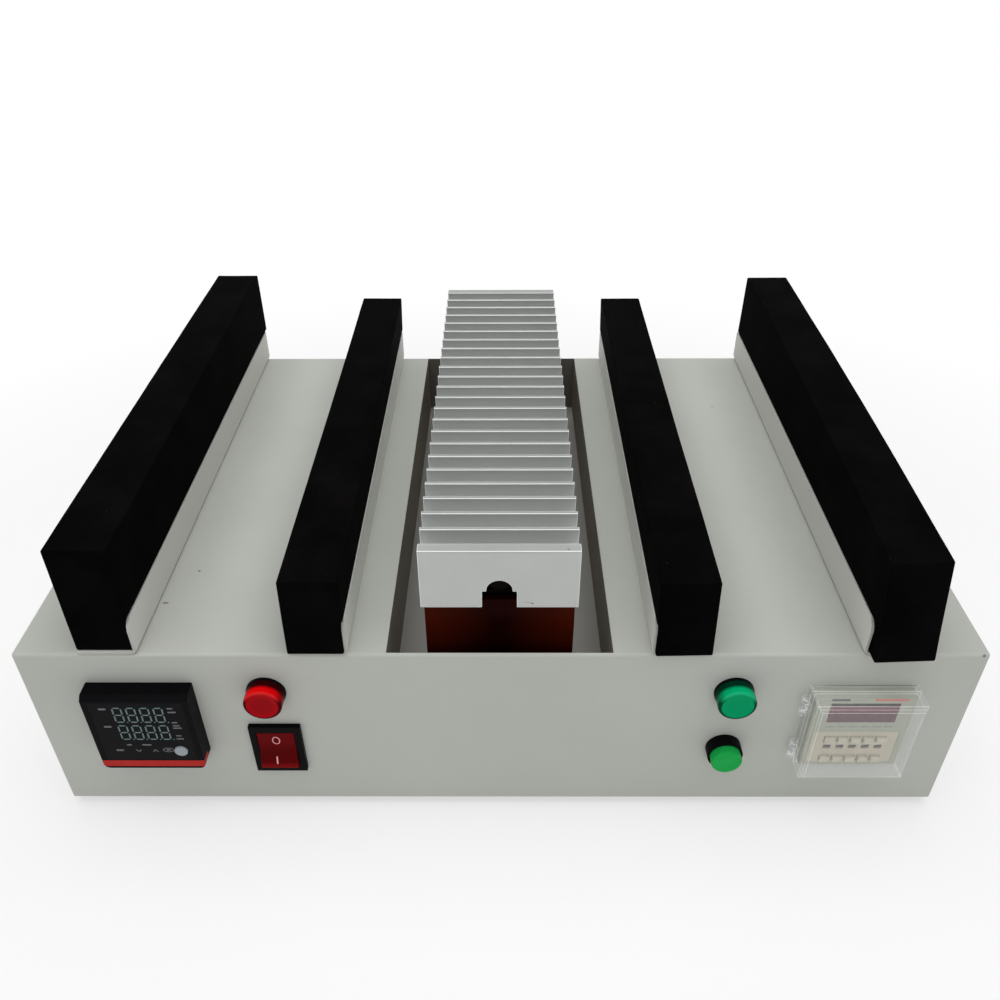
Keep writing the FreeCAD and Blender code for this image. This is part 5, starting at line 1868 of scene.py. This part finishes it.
@dataclass
class TemperatureController:
    """The controller: bezel, face, two rows of unlit digits, key marks, round key and red trim."""

    edge: float = 0.35 * MM
    face_edge: float = 0.12 * MM
    key_edge: float = 0.2 * MM
    digits: int = 4
    digit_width: float = 4.5 * MM
    digit_height: float = 9.9 * MM
    digit_pitch: float = 6.15 * MM
    digit_start: float = -8.65 * MM
    row_heights: Point = (12.95 * MM, 1.25 * MM)
    line: float = 0.66 * MM
    break_width: float = 0.8 * MM
    point_shift: float = 1.25 * MM
    point_drop: float = 0.1 * MM
    point_radii: Point = (0.3 * MM, 0.34 * MM)
    point_wall: float = 0.28 * MM
    point_steps: int = 12
    row_labels: tuple[Label, ...] = (Label(-15.0, 16.9, 3.5, 1.1), Label(-15.3, 5.2, 3.5, 1.1))
    side_labels: tuple[Label, ...] = (
        Label(15.3, 17.3, 2.6, 0.8), Label(15.8, 14.9, 3.8, 0.9), Label(15.6, 8.0, 2.6, 0.8),
        Label(15.9, 5.9, 3.2, 0.8), Label(16.2, 4.3, 4.0, 0.8), Label(15.7, -1.0, 2.4, 0.8),
        Label(15.9, -3.1, 3.4, 0.8),
    )
    key_labels: tuple[Label, ...] = (
        Label(-8.4, -7.3, 2.3, 0.9), Label(-0.4, -7.3, 4.3, 0.9), Label(-13.6, -11.1, 3.5, 1.1),
    )
    down_arrow: float = -4.9 * MM
    up_arrow: float = 2.8 * MM
    arrow_drop: float = 11.4 * MM
    arrow_size: float = 2.3 * MM
    arrow_line: float = 0.5 * MM
    oval_shift: float = 8.9 * MM
    oval_drop: float = 10.9 * MM
    oval_radii: Point = (2.6 * MM, 1.5 * MM)
    oval_line: float = 0.4 * MM
    oval_bar: Point = (2 * MM, 0.8 * MM)

    def digit(self) -> bpy.types.Mesh:
        """Make one digit of seven lines about its own middle, with a point beside it.

        Returns:
            Its mesh.
        """
        print_on = Printing(0)
        half_x, half_z = self.digit_width / 2 - self.line / 2, self.digit_height / 2 - self.line / 2
        tip, gap = self.line / 2, self.break_width / 2
        for z in (-half_z, 0, half_z):
            print_on.shape(self.lozenge((-half_x + gap, z), (half_x - gap, z), tip))
        for x in (-half_x, half_x):
            for low, high in ((-half_z, 0), (0, half_z)):
                print_on.shape(self.lozenge((x, low + gap), (x, high - gap), tip))
        point = (half_x + self.point_shift, -half_z - self.point_drop)
        print_on.ring(*point, self.point_radii, self.point_wall, self.point_steps)
        return print_on.mesh("digit")

    @staticmethod
    def lozenge(start: Point, end: Point, tip: float) -> list[Point]:
        """A line of a digit with pointed ends.

        Args:
            start: one end.
            end: the other end.
            tip: half its width, and how long its points are.

        Returns:
            Its outline.
        """
        if start[1] == end[1]:
            return [
                start, (start[0] + tip, start[1] - tip), (end[0] - tip, end[1] - tip), end,
                (end[0] - tip, end[1] + tip), (start[0] + tip, start[1] + tip),
            ]
        return [
            start, (start[0] + tip, start[1] + tip), (end[0] + tip, end[1] - tip), end,
            (end[0] - tip, end[1] - tip), (start[0] - tip, start[1] + tip),
        ]

    def dress(self, shop: Workshop) -> Iterator[bpy.types.Object]:
        """Make the pieces.

        Args:
            shop: makes pieces of meshes.

        Returns:
            Each piece in turn.
        """
        yield shop.edged("controller_housing", BLACK, self.edge, 3)
        yield shop.edged("controller_face", DARK_FACE, self.face_edge)
        yield shop.edged("controller_trim", RED_TRIM, self.face_edge)
        yield shop.edged("controller_key", SILVER, self.key_edge)
        x, _, z = middle_of("controller_housing")
        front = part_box("controller_face")[0].y
        for row, height in zip(("upper", "lower"), self.row_heights):
            values = {
                "Count": self.digits,
                "Start": (x + self.digit_start, front, z + height),
                "Step": (self.digit_pitch, 0, 0),
            }
            mesh = row_layout().make(f"digits_{row}", self.digit(), DIGIT_INK, values)
            yield shop.add(f"controller_digits_{row}", mesh, DIGIT_INK)
        marks = Printing(front)
        for label in (*self.row_labels, *self.side_labels, *self.key_labels):
            marks.bar(x + label.x * MM, z + label.z * MM, label.width * MM, label.height * MM)
        for shift, way in ((self.down_arrow, Way.DOWN), (self.up_arrow, Way.UP)):
            marks.arrow(x + shift, z - self.arrow_drop, self.arrow_size, way, self.arrow_line)
        oval = (x + self.oval_shift, z - self.oval_drop)
        marks.ring(*oval, self.oval_radii, self.oval_line)
        marks.bar(*oval, *self.oval_bar)
        yield shop.add("controller_marks", marks.mesh("marks"), LABEL_INK)


@dataclass
class PilotLamp:
    """A round lens with a soft rim and a shallow dish in front."""

    node: str
    slot: str
    tints: LensTints
    rim: float = 1.1 * MM
    taper: float = 0.15 * MM
    skirt: float = 0.8 * MM
    skirt_end: float = 1 * MM
    skirt_step: float = 0.12 * MM
    neck: float = 0.1 * MM
    dish_lip: float = 0.3 * MM
    dish_radius: float = 6.6 * MM
    dish_flat: float = 0.6
    dish_depth: float = 0.25 * MM
    wall: float = 1.4 * MM

    def lens(self) -> bpy.types.Mesh:
        """Make the lens as a shell.

        Returns:
            Its mesh.
        """
        low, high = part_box(self.node)
        radius = (high.x - low.x) / 2
        length = high.y - low.y
        front = radius - self.taper
        rim = arc((front - self.rim, length - self.rim), self.rim, 0, 90)
        inner, roof = radius - self.wall, length - self.wall
        dish, floor = self.dish_radius, length - self.dish_depth
        profile = [
            (radius, 0), (radius, self.skirt), (radius - self.skirt_step, self.skirt_end),
            (front, length - self.rim - self.neck), *rim,
            (dish + self.dish_lip, length), (dish, length - self.dish_depth / 2),
            (dish * self.dish_flat, floor), (0, floor), (0, roof), (inner, roof), (inner, 0),
        ]
        work = lathe(profile)
        x, _, z = middle_of(self.node)
        turn = Matrix.Translation((x, high.y, z)) @ Matrix.Rotation(QUARTER_TURN, 4, "X")
        bmesh.ops.transform(work, matrix=turn, verts=work.verts)
        return soften(to_mesh(self.node, work), 0)

    def dress(self, shop: Workshop) -> Iterator[bpy.types.Object]:
        """Make the pieces.

        Args:
            shop: makes pieces of meshes.

        Returns:
            Each piece in turn.
        """
        low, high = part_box(self.node)
        x, _, z = middle_of(self.node)
        finish = TintedLens(self.slot, self.tints, (x, high.y, z), (high.x - low.x) / 2, high.y - low.y)
        yield shop.add(f"{self.node}_turned", self.lens(), finish, replaces=(self.node,))


@dataclass
class RockerSwitch:
    """The rocker in its bezel, with a ring and a line on it."""

    bezel_edge: float = 0.45 * MM
    rocker_edge: float = 0.4 * MM
    tilt: float = 14.0
    ring_rise: float = 6.6 * MM
    ring_radii: Point = (1.9 * MM, 2.6 * MM)
    ring_wall: float = 0.5 * MM
    line_shift: float = -0.9 * MM
    line_drop: float = 6.1 * MM
    line_height: float = 4.4 * MM
    line_width: float = 0.75 * MM
    # The rocker's upper tone is a painted reflection, and its lower-end tone painted light.
    hazy: Colour = srgb(98, 8, 10)
    deep: Colour = srgb(80, 2, 3)
    foot: Colour = srgb(114, 12, 13)

    def dress(self, shop: Workshop) -> Iterator[bpy.types.Object]:
        """Make the pieces.

        Args:
            shop: makes pieces of meshes.

        Returns:
            Each piece in turn.
        """
        low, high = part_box("rocker")
        x, _, z = middle_of("rocker")
        red = RockerPlastic("red_rocker", self.hazy, self.deep, self.foot, z, (high.z - low.z) / 2)
        yield shop.edged("rocker_housing", BLACK, self.bezel_edge, 3)
        yield shop.edged("rocker", red, self.rocker_edge, 3)
        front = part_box("rocker_housing")[0].y
        ring = Printing(0)
        ring.ring(0, self.ring_rise, self.ring_radii, self.ring_wall)
        bmesh.ops.translate(ring.work, vec=(x, front, z), verts=ring.work.verts)
        yield shop.add("rocker_ring", ring.mesh("ring"), ROCKER_INK, "rocker")
        line = Printing(0)
        line.bar(self.line_shift, -self.line_drop, self.line_width, self.line_height)
        turn = Matrix.Translation((x, front, z)) @ Matrix.Rotation(math.radians(-self.tilt), 4, "X")
        bmesh.ops.transform(line.work, matrix=turn, verts=line.work.verts)
        yield shop.add("rocker_line", line.mesh("line"), ROCKER_INK, "rocker")


@dataclass
class PushButton:
    """The collar and barrel, the green cap that slides in it, and the spring."""

    collar_edge: float = 0.6 * MM
    travel: float = 3 * MM

    def dress(self, shop: Workshop) -> Iterator[bpy.types.Object]:
        """Make the pieces.

        Args:
            shop: makes pieces of meshes.

        Returns:
            Each piece in turn.
        """
        yield shop.edged("button_barrel", BLACK, self.collar_edge, 3)
        yield shop.edged("button_cap", GREEN_CAP, 0)
        x, _, z = middle_of("button_spring")
        coil = shop.edged("button_spring", STEEL, 0)
        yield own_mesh(coil)


@dataclass
class PresetTimer:
    """The timer: face, window, key panel, five numbered wheels and ten keys."""

    edge: float = 0.3 * MM
    fine_edge: float = 0.15 * MM
    key_edge: float = 0.35 * MM
    shown: tuple[int, ...] = (0, 0, 3, 0, 0)
    figures: int = 10
    numeral_height: float = 1.9 * MM
    numeral_share: float = 0.7
    numeral_rise: float = 0.02 * MM
    numeral_steps: int = 3
    dash_count: int = 6
    dash_pitch: float = 5.3 * MM
    dash_size: Point = (3.9 * MM, 0.8 * MM)
    dash_drop: float = 2.9 * MM
    line_rise: float = 2.4 * MM
    line_height: float = 1.3 * MM
    dark_start: float = -0.6 * MM
    dark_width: float = 8.4 * MM
    red_start: float = -12 * MM
    red_width: float = 15 * MM
    red: Colour = srgb(104, 26, 46)
    # The window's lower tone is a painted reflection, and its shade a painted shadow.
    hazy: Colour = srgb(86, 52, 62)
    shade: Colour = srgb(14, 8, 10)

    def numerals(self, place: int) -> bpy.types.Mesh:
        """Make the ten numerals round one wheel.

        Args:
            place: the wheel's number from the left, from 1.

        Returns:
            Their mesh.
        """
        low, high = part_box(f"digit_wheel_{place}")
        x, y, z = middle_of(f"digit_wheel_{place}")
        radius = (high.z - low.z) / 2 + self.numeral_rise
        work = bmesh.new()
        for figure in range(self.figures):
            flat = self.figure(str(figure))
            first = len(work.verts)
            work.from_mesh(flat)
            work.verts.ensure_lookup_table()
            turn = WHOLE_TURN * (figure - self.shown[place - 1]) / self.figures
            for vert in work.verts[first:]:
                angle = turn + vert.co.y / radius
                vert.co = Vector((x + vert.co.x, y - radius * math.cos(angle), z + radius * math.sin(angle)))
        return to_mesh("numerals", work)

    def figure(self, text: str) -> bpy.types.Mesh:
        """Make one flat numeral about its own middle.

        Args:
            text: the numeral.

        Returns:
            Its mesh.
        """
        letters = bpy.data.curves.new("numeral", "FONT")
        letters.body = text
        letters.size = self.numeral_height / self.numeral_share
        letters.align_x = "CENTER"
        letters.align_y = "CENTER"
        letters.resolution_u = self.numeral_steps
        return evaluated(held("numeral", letters))

    def dress(self, shop: Workshop) -> Iterator[bpy.types.Object]:
        """Make the pieces.

        Args:
            shop: makes pieces of meshes.

        Returns:
            Each piece in turn.
        """
        yield shop.edged("timer_housing", TIMER_GREY, self.edge)
        yield shop.edged("timer_face", TIMER_GREY, self.fine_edge)
        low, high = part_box("timer_window")
        window = DisplayWindow("window_maroon", self.red, self.hazy, self.shade, high.z, high.z - low.z)
        yield shop.edged("timer_window", window, self.fine_edge)
        yield shop.edged("timer_key_panel", CREAM, self.fine_edge)
        for place in range(1, len(self.shown) + 1):
            wheel = f"digit_wheel_{place}"
            yield shop.edged(wheel, WHEEL, self.fine_edge)
            yield shop.add(f"wheel_numerals_{place}", self.numerals(place), NUMERAL_INK, wheel)
            for row in ("upper", "lower"):
                # The keys take the lighter copy of the cream, painted light.
                yield shop.edged(f"{row}_key_{place}", KEY_CREAM_LIT, self.key_edge, 3)
        middle, front = (low.x + high.x) / 2, low.y
        dash = Printing(0)
        dash.bar(0, 0, *self.dash_size)
        start = middle - self.dash_pitch * (self.dash_count - 1) / 2
        values = {
            "Count": self.dash_count,
            "Start": (start, front, low.z - self.dash_drop),
            "Step": (self.dash_pitch, 0, 0),
        }
        mesh = row_layout().make("dashes", dash.mesh("dash"), PALE_INK, values)
        yield shop.add("timer_dashes", mesh, PALE_INK)
        for name, ink, start_x, width in (
            ("timer_dark_line", DARK_INK, low.x + self.dark_start, self.dark_width),
            ("timer_red_line", RED_INK, high.x + self.red_start, self.red_width),
        ):
            print_on = Printing(front)
            print_on.bar(start_x + width / 2, high.z + self.line_rise, width, self.line_height)
            yield shop.add(name, print_on.mesh(name), ink)


@dataclass
class TimerCover:
    """The clear frame round the timer and the lid that swings on it."""

    edge: float = 0.5 * MM

    def dress(self, shop: Workshop) -> Iterator[bpy.types.Object]:
        """Make the pieces.

        Args:
            shop: makes pieces of meshes.

        Returns:
            Each piece in turn.
        """
        # Their broken edges take the painted highlight.
        for node in ("cover_frame", "cover_lid"):
            yield shop.edged(node, CLEAR, self.edge, 2, CLEAR_HIGHLIGHT)


@dataclass
class MainsInlet:
    """The inlet on the rear panel, with plated blades in its socket."""

    edge: float = 0.5 * MM
    blade_half_width: float = 8.2 * MM
    blade_half_height: float = 4.2 * MM
    socket_depth: float = 17 * MM
    mouth_depth: float = 4 * MM
    floor_gap: float = 0.1 * MM

    def dress(self, shop: Workshop) -> Iterator[bpy.types.Object]:
        """Make the pieces.

        Args:
            shop: makes pieces of meshes.

        Returns:
            Each piece in turn.
        """
        piece = shop.edged("power_inlet", BLACK, self.edge)
        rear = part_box("power_inlet")[1].y
        middle = Vector(middle_of("power_inlet"))
        piece.data.materials.append(material_of(STEEL))
        floor = rear - self.socket_depth
        for face in piece.data.polygons:
            away = face.center - middle
            within = abs(away.x) < self.blade_half_width and abs(away.z) < self.blade_half_height
            if within and floor + self.floor_gap < face.center.y < rear - self.mouth_depth:
                face.material_index = 1
        yield piece


@dataclass
class InnerParts:
    """What lies inside the closed case, and keeps its plain shape."""

    black: tuple[str, ...] = ("instrument_clips", "lamp_bodies", "terminal_block")
    white: tuple[str, ...] = ("solid_state_relay",)
    steel: tuple[str, ...] = ("rail_screws", "panel_nuts")

    def dress(self, shop: Workshop) -> Iterator[bpy.types.Object]:
        """Give each node its finish.

        Args:
            shop: makes pieces of meshes.

        Returns:
            Each node's object in turn.
        """
        for nodes, finish in ((self.black, BLACK), (self.white, WHITE), (self.steel, STEEL)):
            for node in nodes:
                yield shop.repaint(node, finish)


# Studio

@dataclass
class SoftLight:
    """A broad lamp that points at the middle of the object."""

    name: str
    place: Triple
    size: Point
    power: float

    def build(self, target: Vector) -> None:
        """Hang the lamp.

        Args:
            target: what it points at.
        """
        lamp = bpy.data.lights.new(self.name, "AREA")
        lamp.shape = "RECTANGLE"
        lamp.size, lamp.size_y = self.size
        lamp.energy = self.power
        holder = bpy.data.objects.new(self.name, lamp)
        holder.location = self.place
        holder.rotation_euler = (target - Vector(self.place)).to_track_quat("-Z", "Y").to_euler()
        bpy.context.scene.collection.objects.link(holder)


@dataclass
class Studio:
    """A white floor and background, broad lamps and the camera."""

    eye: Triple = (2.18 * MM, -420.29 * MM, 395.94 * MM)
    pitch: float = 35.918
    yaw: float = -0.346
    roll: float = -0.241
    focal_share: float = 0.91555
    sensor: float = 36.0
    nearest: float = 0.01
    farthest: float = 100.0
    floor_half: float = 6.0
    floor_tone: Colour = (0.9, 0.9, 0.9, 1)
    floor_lift: float = 0.55
    shadow_reach: Triple = (0.42, 0.36, 1)
    ambient: float = 0.31
    lamps: tuple[SoftLight, ...] = (
        SoftLight("overhead", (0.0, -0.1, 1.5), (1.7, 1.5), 18.6),
        SoftLight("front_fill", (0.0, -1.8, 0.9), (1.6, 0.9), 8.0),
        SoftLight("rear_fill", (0.0, 1.8, 0.4), (1.6, 0.5), 5.0),
    )

    def camera(self) -> None:
        """Set the camera where the photograph was taken from."""
        pitch, yaw, roll = (math.radians(angle) for angle in (self.pitch, self.yaw, self.roll))
        ahead = Vector((math.sin(yaw) * math.cos(pitch), math.cos(yaw) * math.cos(pitch), -math.sin(pitch)))
        right = Vector((math.cos(yaw), -math.sin(yaw), 0))
        up = right.cross(ahead)
        turned_right = math.cos(roll) * right + math.sin(roll) * up
        turned_up = math.cos(roll) * up - math.sin(roll) * right
        lens = bpy.data.cameras.new("photo_camera")
        lens.sensor_width = self.sensor
        lens.lens = self.focal_share * self.sensor
        lens.clip_start, lens.clip_end = self.nearest, self.farthest
        holder = bpy.data.objects.new("photo_camera", lens)
        axes = Matrix((turned_right, turned_up, -ahead)).transposed()
        holder.matrix_world = Matrix.Translation(self.eye) @ axes.to_4x4()
        bpy.context.scene.collection.objects.link(holder)
        bpy.context.scene.camera = holder

    @staticmethod
    def seen(tree: Tree) -> Value:
        """Whether a ray comes from the camera, a mirror or glass.

        Args:
            tree: the node tree that asks.

        Returns:
            1 for such a ray, and 0 for others.
        """
        path = tree.node("ShaderNodeLightPath")
        camera = Value(tree, path.outputs["Is Camera Ray"])
        glossy = Value(tree, path.outputs["Is Glossy Ray"])
        through = Value(tree, path.outputs["Is Transmission Ray"])
        direct = camera + glossy
        return direct.math("ADD", direct, through, clamp=True)

    def floor(self) -> None:
        """Lay the floor, which is white far off and keeps the shadow near the object."""
        graph = Graph("white_floor")
        plain = graph.node("ShaderNodeBsdfDiffuse", None, {"Color": self.floor_tone})
        glow = graph.node("ShaderNodeEmission", None, {"Color": PURE_WHITE, "Strength": 1.0})
        far = graph.away((0, 0, 0), self.shadow_reach).rising(start=0.85, span=0.55)
        lift = self.floor_lift + far * (1 - self.floor_lift)
        mixed = graph.node("ShaderNodeMixShader", None, {
            0: lift * self.seen(graph), 1: plain.outputs[0], 2: glow.outputs[0],
        })
        graph.feed(graph.output.inputs["Surface"], mixed.outputs[0])
        reach = self.floor_half
        mesh = bpy.data.meshes.new("floor")
        corners = [(-reach, -reach, 0), (reach, -reach, 0), (reach, reach, 0), (-reach, reach, 0)]
        mesh.from_pydata(corners, [], [(0, 1, 2, 3)])
        mesh.materials.append(graph.material)
        held("floor", mesh)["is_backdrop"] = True

    def world(self) -> None:
        """Make the background white to the eye, and a plain light elsewhere."""
        world = bpy.data.worlds.new("white_room")
        world.use_nodes = True
        world.node_tree.nodes.clear()
        tree = Tree(world.node_tree)
        room = tree.node("ShaderNodeBackground", None, {"Color": PURE_WHITE, "Strength": self.ambient})
        white = tree.node("ShaderNodeBackground", None, {"Color": PURE_WHITE, "Strength": 1.0})
        mixed = tree.node("ShaderNodeMixShader", None, {
            0: self.seen(tree), 1: room.outputs[0], 2: white.outputs[0],
        })
        tree.node("ShaderNodeOutputWorld", None, {"Surface": mixed.outputs[0]})
        bpy.context.scene.world = world

    def build(self) -> None:
        """Set up everything round the object."""
        self.camera()
        self.floor()
        self.world()
        low, high = CAD_BOX
        for lamp in self.lamps:
            lamp.build((low + high) / 2)
        bpy.context.scene.view_settings.view_transform = "Standard"


def write_sizes() -> None:
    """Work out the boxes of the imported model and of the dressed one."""
    boxes = {"cad": CAD_BOX, "visual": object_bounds()}
    plain = {name: [list(low), list(high)] for name, (low, high) in boxes.items()}


def main() -> None:
    """Dress every sub-assembly and set up the studio."""
    logging.basicConfig(level=logging.INFO, format="%(message)s")
    shop = Workshop()
    assemblies: tuple[Assembly, ...] = (
        CaseShell(),
        ScrewsAndFeet(),
        FoamRail(
            "outer_left", Side.LEFT, near_lean=(2.4 * MM, 1.2 * MM), far_lean=(0.3 * MM, 0.0), nod=1.2 * MM,
            splay=(0, 0.6 * MM),
        ),
        FoamRail(
            "inner_left", Side.LEFT, near_lean=(1.9 * MM, 2.1 * MM), far_lean=(0.9 * MM, 1.6 * MM),
            nod=0.3 * MM,
        ),
        FoamRail(
            "inner_right", Side.RIGHT, near_lean=(2 * MM, 2.1 * MM), far_lean=(1.3 * MM, 1.6 * MM),
            nod=0.3 * MM, skew=1.2 * MM,
        ),
        FoamRail(
            "outer_right", Side.RIGHT, near_lean=(6.4 * MM, 0.8 * MM), far_lean=(5.1 * MM, 0.2 * MM),
            nod=3 * MM, skew=2.4 * MM, splay=(0.9 * MM, 2.9 * MM), foot_ahead=0.9 * MM,
        ),
        HeaterBlock(),
        TemperatureController(),
        PilotLamp("red_lamp_lens", "red_lens", RED_TINTS),
        PilotLamp("green_lamp_lens", "green_lens", GREEN_TINTS),
        RockerSwitch(),
        PushButton(),
        PresetTimer(),
        TimerCover(),
        MainsInlet(),
        InnerParts(),
    )
    for assembly in assemblies:
        for piece in assembly.dress(shop):
            LOG.info("%s: %s, %d faces", type(assembly).__name__, piece.name, len(piece.data.polygons))
    Studio().build()
    write_sizes()


if __name__ == "__main__":
    main()
